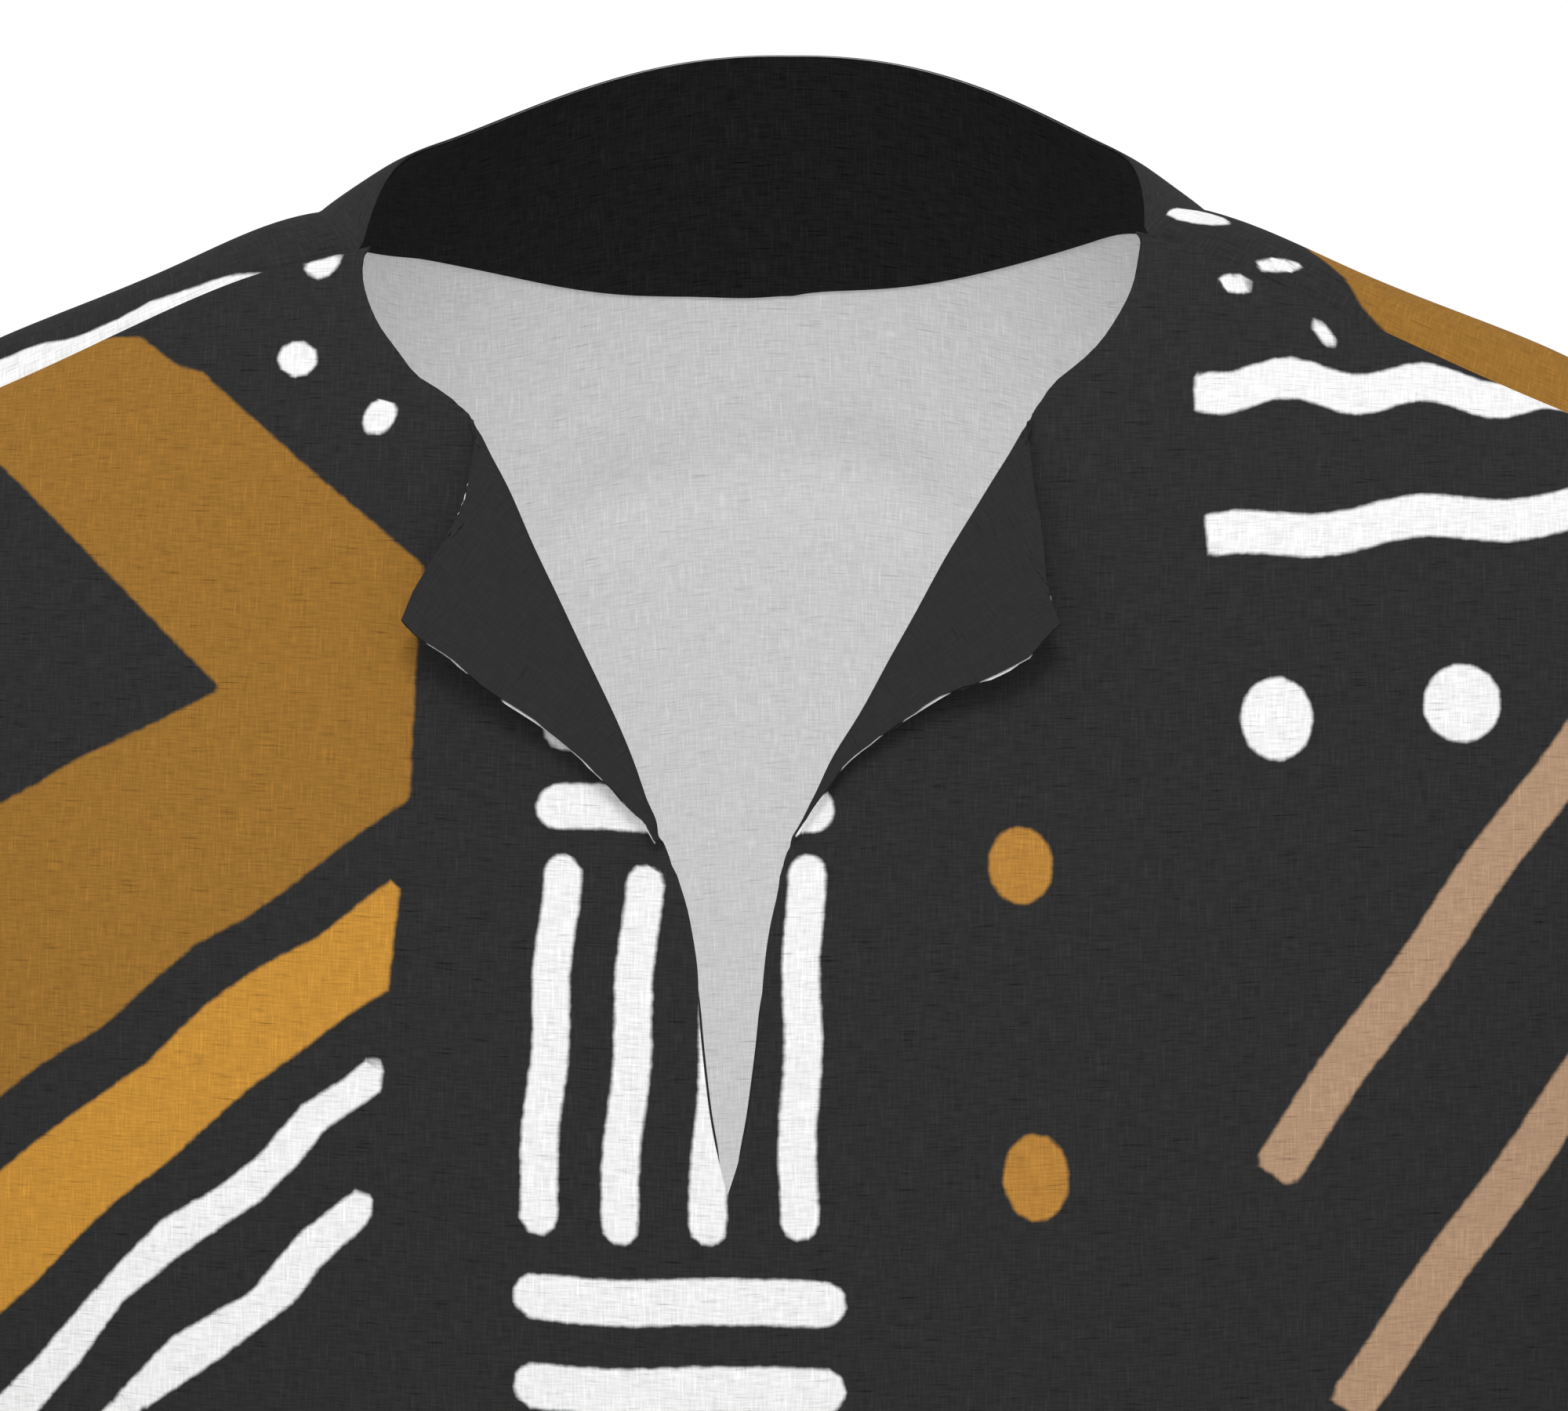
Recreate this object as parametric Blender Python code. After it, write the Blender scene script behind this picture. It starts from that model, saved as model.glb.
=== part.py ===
"""Collarless dashiki shirt, filled out as if worn, with the two corners of its slit neck turned out.

Every piece of cloth is a wall worked out from vertical sections of the shirt. All sizes here are in
millimetres; +X is the wearer's left, -Y the front and +Z up. The origin is the middle of the shoulder
line at the neck, where a wearer's shoulders carry the shirt.
"""

import bpy
import numpy as np

MM = 0.001

# Walls and seams
PANEL_WALL = 1.2
FACING_WALL = 1.0
SEAM_GAP = 0.3
LAYER_GAP = 0.3

# Body
CHEST_HALF_WIDTH = 238.0
CHEST_FRONT_DEPTH = 116.0
CHEST_BACK_DEPTH = 106.0
CHEST_MIDDLE_Y = 5.0
CHEST_QUARTER = 286.0
UNDERARM_Z = -292.0
HEM_Z = -752.0
HEM_HALF_WIDTH = 262.0
HEM_FRONT_DEPTH = 128.0
HEM_BACK_DEPTH = 120.0
SECTION_POWER = 2.25

# Neck: a half oval behind the two neck points, with the slit in front of them
NECK_HALF_WIDTH = 94.0
NECK_POINT_Y = -40.0
NECK_POINT_Z = -16.0
NECK_BACK_REACH = 115.0
SLIT_BOTTOM_Z = -239.0
# The wearer's left neck point sits a little higher than the right one.
NECK_POINT_SHIFT = 2.2
NECK_POINT_SPREAD = 24.0

# Turned-out corners of the slit, as points across and down from the neck middle
FOLD_TOP_Z = -57.0
FOLD_BOTTOM_Z = -162.0
ROLL_RADIUS = 2.1
ROLL_SLANT = 1.12
CORNER_LIFT = 5.0
CORNER_REACH = 40.0
FOLD_RUN_ON = 25.0
# Each corner, by side: how far from the middle its point was before it was turned out, and how
# gently its cloth widens from the fold line's upper and lower end
# side: (corner_x, corner_z, top_ease, low_ease)
CORNERS = {
    -1: (15.2, -76.5, 2.0, 1.1),
    1: (21.5, -74.5, 1.8, 1.1),
}

# Facings inside the neck
FACING_WIDTH = 40.0
FACING_END_Z = -252.0
FACING_INSET = 0.5
BACK_FACING_END = 0.60
BACK_FACING_MIDDLE = 0.270
BACK_FACING_SIDE = 0.243
BACK_FACING_SLANT = 0.065

# Sleeves
CUFF_MIDDLE = (372.0, -6.0, -396.0)
CUFF_HALF_HEIGHT = 80.0
CUFF_HALF_DEPTH = 57.0
SLEEVE_SLOPE_DEG = 58.0
SLEEVE_START_TOP = 1.0
SLEEVE_START_UNDERARM = 2.6
SHOULDER_LEAVE = (0.86, 0.0, -0.51)
CUFF_FORWARD = -0.02
SLEEVE_START_HANDLE = 0.35
SLEEVE_END_HANDLE = 0.3
FOLD_GROWTH = 0.4

# Reach of the neck opening from the middle, on side -1 and on side +1
# height_z, reach_right, reach_left
OPENING = (
    (-16.0, 94.0, 94.0),
    (-24.0, 94.0, 94.0),
    (-31.0, 92.4, 92.4),
    (-37.0, 88.8, 88.8),
    (-44.0, 82.6, 82.6),
    (-50.0, 75.4, 75.4),
    (-57.0, 69.2, 69.8),
    (-72.0, 63.6, 64.4),
    (-87.0, 55.4, 56.8),
    (-103.0, 46.4, 47.0),
    (-121.0, 36.0, 36.0),
    (-139.0, 26.2, 26.2),
    (-152.0, 19.2, 19.2),
    (-162.0, 14.0, 14.0),
    (-172.0, 10.2, 10.2),
    (-190.0, 7.4, 7.4),
    (-212.0, 4.8, 4.8),
    (-239.0, 0.0, 0.0),
)

# Neck edge of the back, from its middle round to a neck point
# turn_deg, height_z
NECK_EDGE = (
    (0.0, 26.0),
    (16.0, 24.2),
    (36.0, 15.9),
    (58.0, 5.6),
    (70.0, 1.2),
    (80.0, -6.5),
    (90.0, -16.0),
)

# Upper front, one row for each vertical section from the middle to the armhole
# across, top_x, top_y, top_z, start_x, start_y, start_z, end_x, end_y, end_z
FRONT_SECTIONS = (
    (0.00, 0.0, -54.0, -16.0, 0.0, -27.0, -44.0, 0.0, 0.0, 96.0),
    (0.33, 94.0, -40.0, -16.0, 0.0, -31.0, -42.0, 0.0, 0.0, 96.0),
    (0.62, 176.0, -26.0, -48.5, 1.0, -33.0, -36.0, 0.0, -2.0, 96.0),
    (0.84, 231.0, -14.0, -72.0, 6.0, -40.0, -34.0, 10.0, -16.0, 92.0),
    (1.00, 263.0, -5.0, -87.0, 12.0, -58.0, -20.0, 16.0, -84.0, 26.0),
)

# Upper back, one row for each vertical section; the first rows start on the neck edge
# across, shoulder_x, shoulder_y, shoulder_z, end_x, end_y, end_z
BACK_SECTIONS = (
    (0.00, 0.0, 87.0, -24.0, 0.0, 4.0, 100.0),
    (0.12, 39.0, 81.0, -21.0, 0.0, 6.0, 120.0),
    (0.25, 77.0, 59.0, -14.0, 0.0, 8.0, 145.0),
    (0.38, 106.0, 24.0, 3.0, 0.0, 10.0, 165.0),
    (0.50, 125.0, 4.0, 22.0, 0.0, 11.0, 180.0),
    (0.62, 151.0, 9.0, 8.0, 0.0, 11.0, 178.0),
    (0.80, 208.0, 22.0, -16.0, 2.0, 14.0, 165.0),
    (0.91, 241.0, 34.0, -49.0, 8.0, 40.0, 90.0),
    (1.00, 273.0, 57.0, -85.0, 14.0, 60.0, 40.0),
)
NECK_END_ACROSS = 0.50
BACK_TOP_GAP = 0.0035

# Soft folds of the body below the chest
# panel, across, top_z, bottom_z, depth, half_width, lean
FOLDS = (
    ("front", -0.78, -360.0, -752.0, 6.5, 0.085, 0.10),
    ("front", -0.47, -470.0, -752.0, -5.0, 0.080, 0.05),
    ("front", -0.20, -520.0, -752.0, 4.5, 0.080, -0.04),
    ("front", 0.13, -440.0, -752.0, -4.5, 0.085, 0.03),
    ("front", 0.40, -540.0, -752.0, 5.0, 0.075, 0.05),
    ("front", 0.72, -350.0, -752.0, 6.5, 0.090, -0.10),
    ("front", 0.93, -330.0, -560.0, -4.0, 0.060, -0.05),
    ("back", -0.80, -340.0, -752.0, 7.0, 0.090, 0.10),
    ("back", -0.50, -430.0, -752.0, -5.5, 0.085, 0.05),
    ("back", -0.16, -380.0, -752.0, 6.0, 0.090, 0.05),
    ("back", 0.19, -460.0, -752.0, -5.0, 0.085, -0.04),
    ("back", 0.50, -410.0, -752.0, 5.5, 0.080, -0.05),
    ("back", 0.80, -350.0, -752.0, 6.5, 0.090, -0.10),
)

# Soft folds of a sleeve, round it from the shoulder through the front
# turn, start, end, depth, half_width
SLEEVE_FOLDS = (
    (0.14, 0.25, 1.00, 3.5, 0.050),
    (0.30, 0.05, 0.80, -4.0, 0.055),
    (0.44, 0.10, 1.00, 4.5, 0.050),
    (0.60, 0.05, 0.85, -4.0, 0.055),
    (0.80, 0.20, 1.00, 3.5, 0.055),
)

# Mesh counts
BODY_STEPS_BELOW_SLIT = 1
BODY_STEPS_BELOW_CHEST = 8
FRONT_SPREAD_STEPS = 8
BACK_ROWS_BELOW_FACING = 8
BACK_OUTER_COLUMNS = 6
NECK_POINT_STEP = 6.0
CORNER_TOP_ROWS = 4
CORNER_LOW_ROWS = 5
ROLL_COLUMNS = 5
FLAP_FLAT_COLUMNS = 3
NEAR_STEPS = (0.0, 0.15, 0.35, 0.65, 1.0)
SLEEVE_STEPS = 9
BACK_FACING_ROWS = 5
BACK_FACING_COLUMNS = 22

# Colours, linear
CHARCOAL = (0.032, 0.032, 0.031)
FACING_CHARCOAL = (0.030, 0.030, 0.030)


def clear_scene():
    """Empties the scene."""
    for item in list(bpy.data.objects):
        bpy.data.objects.remove(item, do_unlink=True)


def fabric(name, color, roughness=0.85):
    """A plain cloth finish."""
    material = bpy.data.materials.new(name)
    material.use_nodes = True
    shader = material.node_tree.nodes["Principled BSDF"]
    shader.inputs["Base Color"].default_value = (*color, 1.0)
    shader.inputs["Roughness"].default_value = roughness
    shader.inputs["Metallic"].default_value = 0.0
    material.diffuse_color = (*color, 1.0)
    return material


# ---------------------------------------------------------------- curves


def smooth_step(low, high, value):
    """0 below low, 1 above high, with a soft change between them."""
    part = np.clip((value - low) / (high - low), 0.0, 1.0)
    return part * part * (3.0 - 2.0 * part)


def through(keys, values, at):
    """A natural cubic curve through a table's rows. values has a row for each key."""
    keys = np.asarray(keys, float)
    values = np.asarray(values, float)
    step = np.diff(keys)
    count = len(keys)
    left = np.zeros((count, count))
    right = np.zeros((count,) + values.shape[1:])
    left[0, 0] = left[-1, -1] = 1.0
    slope = np.diff(values, axis=0) / step.reshape((-1,) + (1,) * (values.ndim - 1))
    for k in range(1, count - 1):
        left[k, k - 1] = step[k - 1]
        left[k, k] = 2.0 * (step[k - 1] + step[k])
        left[k, k + 1] = step[k]
        right[k] = 6.0 * (slope[k] - slope[k - 1])
    bend = np.linalg.solve(left, right.reshape(count, -1)).reshape(values.shape)
    at = np.asarray(at, float)
    k = np.clip(np.searchsorted(keys, at, side="right") - 1, 0, count - 2)
    shape = at.shape + (1,) * (values.ndim - 1)
    h = step[k].reshape(shape)
    a = ((keys[k + 1] - at)).reshape(shape) / h
    b = 1.0 - a
    curve = a * values[k] + b * values[k + 1]
    return curve + ((a**3 - a) * bend[k] + (b**3 - b) * bend[k + 1]) * h * h / 6.0


def opening_at(height, side):
    """Reach of the neck opening to one side (1 the wearer's left, -1 the right) at a height."""
    keys = [-row[0] for row in OPENING]
    values = [row[2 if side > 0 else 1] for row in OPENING]
    return through(keys, values, -np.asarray(height, float))


def quarter_section(across):
    """Unit quarter oval at even distances along it: sideways and depth for across 0 to 1."""
    turn = np.linspace(0.0, np.pi / 2.0, 400)
    side = np.sin(turn) ** (2.0 / SECTION_POWER)
    depth = np.cos(turn) ** (2.0 / SECTION_POWER)
    stretch = np.hypot(np.diff(side) * CHEST_HALF_WIDTH, np.diff(depth) * CHEST_FRONT_DEPTH)
    length = np.concatenate(([0.0], np.cumsum(stretch)))
    at = np.asarray(across, float) * length[-1]
    return np.interp(at, length, side), np.interp(at, length, depth)


def bezier(points, part):
    """Cubic curve with four control points in the first axis, at part 0 to 1."""
    part = part[..., None]
    rest = 1.0 - part
    first, second, third, fourth = points
    return (
        rest**3 * first
        + 3.0 * rest**2 * part * second
        + 3.0 * rest * part**2 * third
        + part**3 * fourth
    )


# ---------------------------------------------------------------- the body's two surfaces
# A point on either panel is named by across (-1 at one side seam, 0 in the middle, 1 at the other)
# and down (0 at the shoulder seam or neck edge, 1 at the underarm level, 2 at the hem).


def chest_point(across, panel):
    """Points of the chest section at the underarm level."""
    side, depth = quarter_section(np.abs(across))
    reach = -CHEST_FRONT_DEPTH if panel == "front" else CHEST_BACK_DEPTH
    x = CHEST_HALF_WIDTH * side
    y = CHEST_MIDDLE_Y + reach * depth
    return np.stack([x, y, np.full_like(x, UNDERARM_Z)], -1)


def upper_front(across, down):
    """Front between the shoulder line and the underarm level, for across >= 0."""
    table = np.array(FRONT_SECTIONS)
    row = through(table[:, 0], table[:, 1:], across)
    top = row[..., 0:3]
    low = chest_point(across, "front")
    return bezier((top, top + row[..., 3:6], low + row[..., 6:9], low), down)


def neck_edge(turn):
    """The back's neck edge at a turn of 0 in the middle to pi / 2 at a neck point."""
    table = np.array(NECK_EDGE)
    x = NECK_HALF_WIDTH * np.sin(turn)
    y = NECK_POINT_Y + NECK_BACK_REACH * np.cos(turn)
    return np.stack([x, y, through(table[:, 0], table[:, 1], np.degrees(turn))], -1)


def seam_point(reach):
    """Shoulder seam, from a neck point at reach 0 to the armhole at reach 1."""
    table = np.array(FRONT_SECTIONS)
    start, end = table[1, 0], table[-1, 0]
    return through(table[:, 0], table[:, 1:4], start + (end - start) * reach)


def upper_back(across, down):
    """Back between its top edge and the underarm level, for across >= 0."""
    table = np.array(BACK_SECTIONS)
    row = through(table[:, 0], table[:, 1:], across)
    turn = np.pi / 2.0 * np.clip(across / NECK_END_ACROSS, 0.0, 1.0)
    reach = np.clip((across - NECK_END_ACROSS) / (1.0 - NECK_END_ACROSS), 0.0, 1.0)
    on_neck = (across <= NECK_END_ACROSS)[..., None]
    top = np.where(on_neck, neck_edge(turn), seam_point(reach))
    low = chest_point(across, "back")
    return bezier((top, row[..., 0:3], low + row[..., 3:6], low), down)


def lower_body(across, down, panel):
    """Either panel between the underarm level and the hem, for across >= 0."""
    part = down - 1.0
    side, depth = quarter_section(across)
    widen = smooth_step(0.0, 1.25, part)
    front_reach = CHEST_FRONT_DEPTH + (HEM_FRONT_DEPTH - CHEST_FRONT_DEPTH) * widen
    back_reach = CHEST_BACK_DEPTH + (HEM_BACK_DEPTH - CHEST_BACK_DEPTH) * widen
    reach = -front_reach if panel == "front" else back_reach
    x = (CHEST_HALF_WIDTH + (HEM_HALF_WIDTH - CHEST_HALF_WIDTH) * widen) * side
    y = CHEST_MIDDLE_Y + reach * depth
    z = UNDERARM_Z + (HEM_Z - UNDERARM_Z) * part
    return np.stack([x, y, z], -1)


def fold_depth(across, height, panel):
    """How far the folds push the cloth out at each point."""
    push = np.zeros_like(across)
    for name, middle, top, bottom, depth, half_width, lean in FOLDS:
        if name != panel:
            continue
        fall = (top - height) / (top - bottom)
        line = middle + lean * (fall - 0.5)
        grow = smooth_step(0.0, 0.8, fall)
        push += depth * grow * np.exp(-(((across - line) / half_width) ** 2))
    return push * (1.0 - np.abs(across) ** 10)


def body_point(across, down, panel):
    """Points on the middle of a panel's cloth."""
    across = np.asarray(across, float)
    down = np.asarray(down, float)
    across, down = np.broadcast_arrays(across, down)
    away = np.abs(across)
    upper = upper_front if panel == "front" else upper_back
    point = np.where(
        (down <= 1.0)[..., None],
        upper(away, np.clip(down, 0.0, 1.0)),
        lower_body(away, np.clip(down, 1.0, 2.0), panel),
    )
    outward = -1.0 if panel == "front" else 1.0
    turned = 1.0 - np.clip(away, 0.0, 1.0) ** 6
    point[..., 1] += outward * turned * fold_depth(across, point[..., 2], panel)
    point[..., 0] *= np.where(across < 0.0, -1.0, 1.0)
    away_x = np.abs(point[..., 0]) - NECK_HALF_WIDTH
    gap = np.hypot(np.hypot(away_x, point[..., 1] - NECK_POINT_Y), point[..., 2] - NECK_POINT_Z)
    near = np.exp(-((gap / NECK_POINT_SPREAD) ** 2))
    point[..., 2] += NECK_POINT_SHIFT * np.where(across < 0.0, -1.0, 1.0) * near
    return point


def across_of(x):
    """The across value of a sideways distance on the chest."""
    even = np.linspace(0.0, 1.0, 400)
    side = quarter_section(even)[0]
    found = np.interp(np.abs(x) / CHEST_HALF_WIDTH, side, even)
    return np.where(np.asarray(x) < 0.0, -found, found)


def down_of(height):
    """The down value of a height on the upper front's middle."""
    even = np.linspace(0.0, 1.0, 400)
    middle = upper_front(np.zeros_like(even), even)
    return np.interp(-np.asarray(height, float), -middle[:, 2], even)


# ---------------------------------------------------------------- solids from sheets of points


def sheet_normals(points, faces):
    """Unit normals at the points of a sheet of four-sided faces."""
    corners = points[faces]
    normal = np.cross(corners[:, 2] - corners[:, 0], corners[:, 3] - corners[:, 1])
    total = np.zeros_like(points)
    for k in range(4):
        np.add.at(total, faces[:, k], normal)
    length = np.linalg.norm(total, axis=1, keepdims=True)
    return total / np.where(length > 0.0, length, 1.0)


def grid_faces(ids):
    """Four-sided faces over a grid of point numbers."""
    return np.stack([ids[:-1, :-1], ids[1:, :-1], ids[1:, 1:], ids[:-1, 1:]], -1).reshape(-1, 4)


def thick_object(name, points, faces, normals, wall, color):
    """A closed solid with the sheet in the middle of its wall."""
    count = len(points)
    half = normals * wall / 2.0
    both = np.concatenate([points + half, points - half])
    # Each four-sided face is cut along the same diagonal in every layer, so that layers stay apart.
    triangles = np.concatenate([faces[:, [0, 1, 2]], faces[:, [0, 2, 3]]])
    triangles = [tuple(int(i) for i in face) for face in triangles if len(set(face)) == 3]
    solid = triangles + [(c + count, b + count, a + count) for a, b, c in triangles]
    edges = set()
    for a, b, c in triangles:
        edges.update(((a, b), (b, c), (c, a)))
    for start, end in sorted(edges):
        if (end, start) not in edges:
            solid.append((end, start, start + count, end + count))
    mesh = bpy.data.meshes.new(name)
    mesh.from_pydata((both * MM).tolist(), [], solid)
    mesh.validate()
    mesh.materials.append(fabric(name + "_cloth", color))
    made = bpy.data.objects.new(name, mesh)
    bpy.context.scene.collection.objects.link(made)
    return made


# ---------------------------------------------------------------- front with its turned corners


def fold_curve(side):
    """The fold line of a corner as sideways and height, and its unit normal into the opening."""
    height = np.linspace(FOLD_TOP_Z, FOLD_BOTTOM_Z, 200)
    line = np.stack([opening_at(height, side), height], -1)
    beyond = np.linspace(0.0, FOLD_RUN_ON, 30)[1:, None]
    above = line[0] + (line[0] - line[1]) / np.linalg.norm(line[0] - line[1]) * beyond[::-1]
    below = line[-1] + (line[-1] - line[-2]) / np.linalg.norm(line[-1] - line[-2]) * beyond
    line = np.concatenate([above, line, below])
    along = np.gradient(line, axis=0)
    along /= np.linalg.norm(along, axis=1, keepdims=True)
    into = np.stack([along[:, 1], -along[:, 0]], -1)
    return line * (side, 1.0), into * (side, 1.0)


def corner_width(height, side):
    """How far the corner's cloth runs past its fold line at a height."""
    corner_x, corner_z, top_ease, low_ease = CORNERS[side]
    most = opening_at(corner_z, side) - corner_x
    above = np.clip((FOLD_TOP_Z - height) / (FOLD_TOP_Z - corner_z), 0.0, 1.0)
    below = np.clip((height - FOLD_BOTTOM_Z) / (corner_z - FOLD_BOTTOM_Z), 0.0, 1.0)
    return most * np.minimum(above**top_ease, below**low_ease)


def on_front(place):
    """Front cloth at flat places given as sideways and height, with its outward normal."""
    across = across_of(place[:, 0])
    down = down_of(place[:, 1])
    step = 1e-3
    point = body_point(across, down, "front")
    right = body_point(across + step, down, "front") - body_point(across - step, down, "front")
    fall = body_point(across, down + step, "front") - body_point(across, down - step, "front")
    normal = np.cross(right, -fall)
    return point, normal / np.linalg.norm(normal, axis=1, keepdims=True)


def turned_corner(flat, side):
    """Places and normals of a corner's flat points once it is rolled out over its fold line."""
    line, into = fold_curve(side)
    gap = np.linalg.norm(flat[:, None, :] - line[None], axis=2)
    nearest = np.argmin(gap, axis=1)
    beyond = gap[np.arange(len(flat)), nearest]
    hinge, into = line[nearest], into[nearest]
    point, normal = on_front(hinge)
    ahead = on_front(hinge + into * 0.5)[0] - point
    ahead /= np.linalg.norm(ahead, axis=1, keepdims=True)
    turn = np.minimum(beyond / ROLL_RADIUS, np.pi)[:, None]
    past = np.maximum(beyond - np.pi * ROLL_RADIUS, 0.0)[:, None]
    rolled = point + ahead * ROLL_RADIUS * np.sin(turn) + normal * ROLL_RADIUS * (1.0 - np.cos(turn))
    rolled_normal = normal * np.cos(turn) - ahead * np.sin(turn)
    laid, laid_normal = on_front(hinge - into * past)
    lift = 2.0 * ROLL_RADIUS + CORNER_LIFT * (past / CORNER_REACH) ** 1.5
    place = np.where(past > 0.0, laid + laid_normal * lift, rolled)
    return place, np.where(past > 0.0, -laid_normal, rolled_normal)


def roll_reaches():
    """Sideways reach of each column of the rolled edge, from the fold line to half a turn."""
    return np.linspace(0.0, np.pi * ROLL_RADIUS * ROLL_SLANT, ROLL_COLUMNS + 1)


def front_rows(side):
    """Heights of the rows above the underarm level; the corner's edge meets a roll column at a row."""
    near_point = NECK_POINT_Z - NECK_POINT_STEP * np.arange(2)
    upper = np.concatenate([near_point, np.linspace(NECK_POINT_Z - 2.2 * NECK_POINT_STEP, FOLD_TOP_Z, 4)])
    corner_z, top_ease, low_ease = CORNERS[side][1:]
    rolled = roll_reaches() / corner_width(corner_z, side)
    top_part = rolled ** (1.0 / top_ease)
    low_part = rolled ** (1.0 / low_ease)
    top_part = np.concatenate([top_part[1:], np.linspace(top_part[-1], 1.0, CORNER_TOP_ROWS + 1)[1:]])
    low_part = np.concatenate([np.linspace(1.0, low_part[-1], CORNER_LOW_ROWS + 1)[1:], low_part[-2::-1]])
    corner_top = FOLD_TOP_Z + (corner_z - FOLD_TOP_Z) * top_part
    corner_low = FOLD_BOTTOM_Z + (corner_z - FOLD_BOTTOM_Z) * low_part
    corner = np.concatenate([corner_top, corner_low])
    slit = np.linspace(FOLD_BOTTOM_Z, SLIT_BOTTOM_Z, 6)[1:]
    below = np.linspace(SLIT_BOTTOM_Z, UNDERARM_Z, BODY_STEPS_BELOW_SLIT + 3)[1:-1]
    return np.concatenate([upper, corner, slit, below])


def front_half(side):
    """One half of the front: its grid of points, then its corner's grid of points and their normals."""
    height = front_rows(side)
    down = np.concatenate([down_of(height), np.linspace(1.0, 2.0, BODY_STEPS_BELOW_CHEST + 1)])
    opening = np.where(height > SLIT_BOTTOM_Z, opening_at(height, side), 0.0)
    opening = np.concatenate([opening, np.zeros(BODY_STEPS_BELOW_CHEST + 1)])
    start = across_of(opening)
    near = FACING_WIDTH * np.array(NEAR_STEPS)
    near_across = across_of(opening[:, None] + near[None])
    spread = np.linspace(0.0, 1.0, FRONT_SPREAD_STEPS + 1)[1:]
    last = 1.0 - SEAM_GAP / 2.0 / CHEST_QUARTER
    far = near_across[:, -1:] + (last - near_across[:, -1:]) * spread
    across = np.concatenate([near_across, far], axis=1)
    across[:, 0] = start
    grid = body_point(side * across, down[:, None], "front")
    corner_rows = np.flatnonzero((height <= FOLD_TOP_Z) & (height >= FOLD_BOTTOM_Z))
    corner_height = height[corner_rows]
    fold_x = opening_at(corner_height, side)
    width = corner_width(corner_height, side)
    roll = np.minimum(roll_reaches()[None], width[:, None])
    flat_part = np.linspace(0.0, 1.0, FLAP_FLAT_COLUMNS + 1)[None, 1:]
    reach = np.concatenate([roll, roll[:, -1:] + (width[:, None] - roll[:, -1:]) * flat_part], axis=1)
    level = np.broadcast_to(corner_height[:, None], reach.shape)
    flat = np.stack([side * (fold_x[:, None] - reach), level], -1)
    corner, corner_normal = turned_corner(flat.reshape(-1, 2), side)
    shape = (flat.shape[0], flat.shape[1], 3)
    corner = corner.reshape(shape)
    corner[:, 0] = grid[corner_rows, 0]
    return grid, corner, corner_normal.reshape(shape), corner_rows


def merge_at_edge(ids, places):
    """Gives the places of a row that share its edge point that point's number."""
    for row in range(ids.shape[0]):
        at_edge = np.linalg.norm(places[row] - places[row, -1], axis=1) < 1e-3
        ids[row, at_edge] = ids[row, np.flatnonzero(at_edge)[0]]


def joined_front():
    """The whole front as one sheet, with its normals and the number of each grid point."""
    points = []
    rolled = []
    numbers = {}
    faces = []
    slit_row = int(np.flatnonzero(front_rows(1) <= SLIT_BOTTOM_Z + 1e-6)[0])
    for side in (-1, 1):
        grid, corner, corner_normal, corner_rows = front_half(side)
        ids = np.arange(grid.shape[0] * grid.shape[1]).reshape(grid.shape[:2]) + len(points)
        points.extend(grid.reshape(-1, 3))
        if side == 1:
            ids[slit_row:, 0] = numbers[-1][0][slit_row:, 0]
        corner_ids = np.arange(corner.shape[0] * corner.shape[1]).reshape(corner.shape[:2]) + len(points)
        points.extend(corner.reshape(-1, 3))
        merge_at_edge(corner_ids, corner)
        corner_ids[corner_ids == corner_ids[:, :1]] = -1
        corner_ids[:, 0] = ids[corner_rows, 0]
        corner_ids = np.where(corner_ids < 0, corner_ids[:, :1], corner_ids)
        rolled.append((corner_ids.ravel(), corner_normal.reshape(-1, 3)))
        numbers[side] = (ids, corner_ids, corner_rows)
        for block, flipped in ((ids, side < 0), (corner_ids, side > 0)):
            made = grid_faces(block)
            faces.append(made[:, ::-1] if flipped else made)
    points = np.array(points)
    faces = np.concatenate(faces)
    normals = sheet_normals(points, faces)
    for ids, own_normal in rolled:
        normals[ids] = own_normal
    return points, normals, faces, numbers


def compact(points, normals, faces):
    """Only the points that the faces use."""
    used, renumbered = np.unique(faces, return_inverse=True)
    return points[used], normals[used], renumbered.reshape(faces.shape)


def build_front():
    """The front wall and the two slit facings that lie on its inside and over its turned corners."""
    points, normals, faces, numbers = joined_front()
    sheet, sheet_normal, sheet_faces = compact(points, normals, faces)
    front = thick_object("front", sheet, sheet_faces, sheet_normal, PANEL_WALL, CHARCOAL)
    made = [front]
    apart = PANEL_WALL / 2.0 + LAYER_GAP + FACING_WALL / 2.0
    last_row = int(np.flatnonzero(front_rows(1) <= FACING_END_Z)[0])
    for side, name in ((-1, "slit_facing_right"), (1, "slit_facing_left")):
        ids, corner_ids, corner_rows = numbers[side]
        own = points.copy()
        band = ids[: last_row + 1, : len(NEAR_STEPS)]
        inset_edges(own, band, corner_ids, corner_rows)
        block = grid_faces(band)
        corner = grid_faces(corner_ids)
        if side < 0:
            block = block[:, ::-1]
        else:
            corner = corner[:, ::-1]
        facing_faces = np.concatenate([block, corner])
        moved = own - normals * apart
        sheet, sheet_normal, sheet_faces = compact(moved, normals, facing_faces)
        made.append(thick_object(name, sheet, sheet_faces, sheet_normal, FACING_WALL, FACING_CHARCOAL))
    return made


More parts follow.
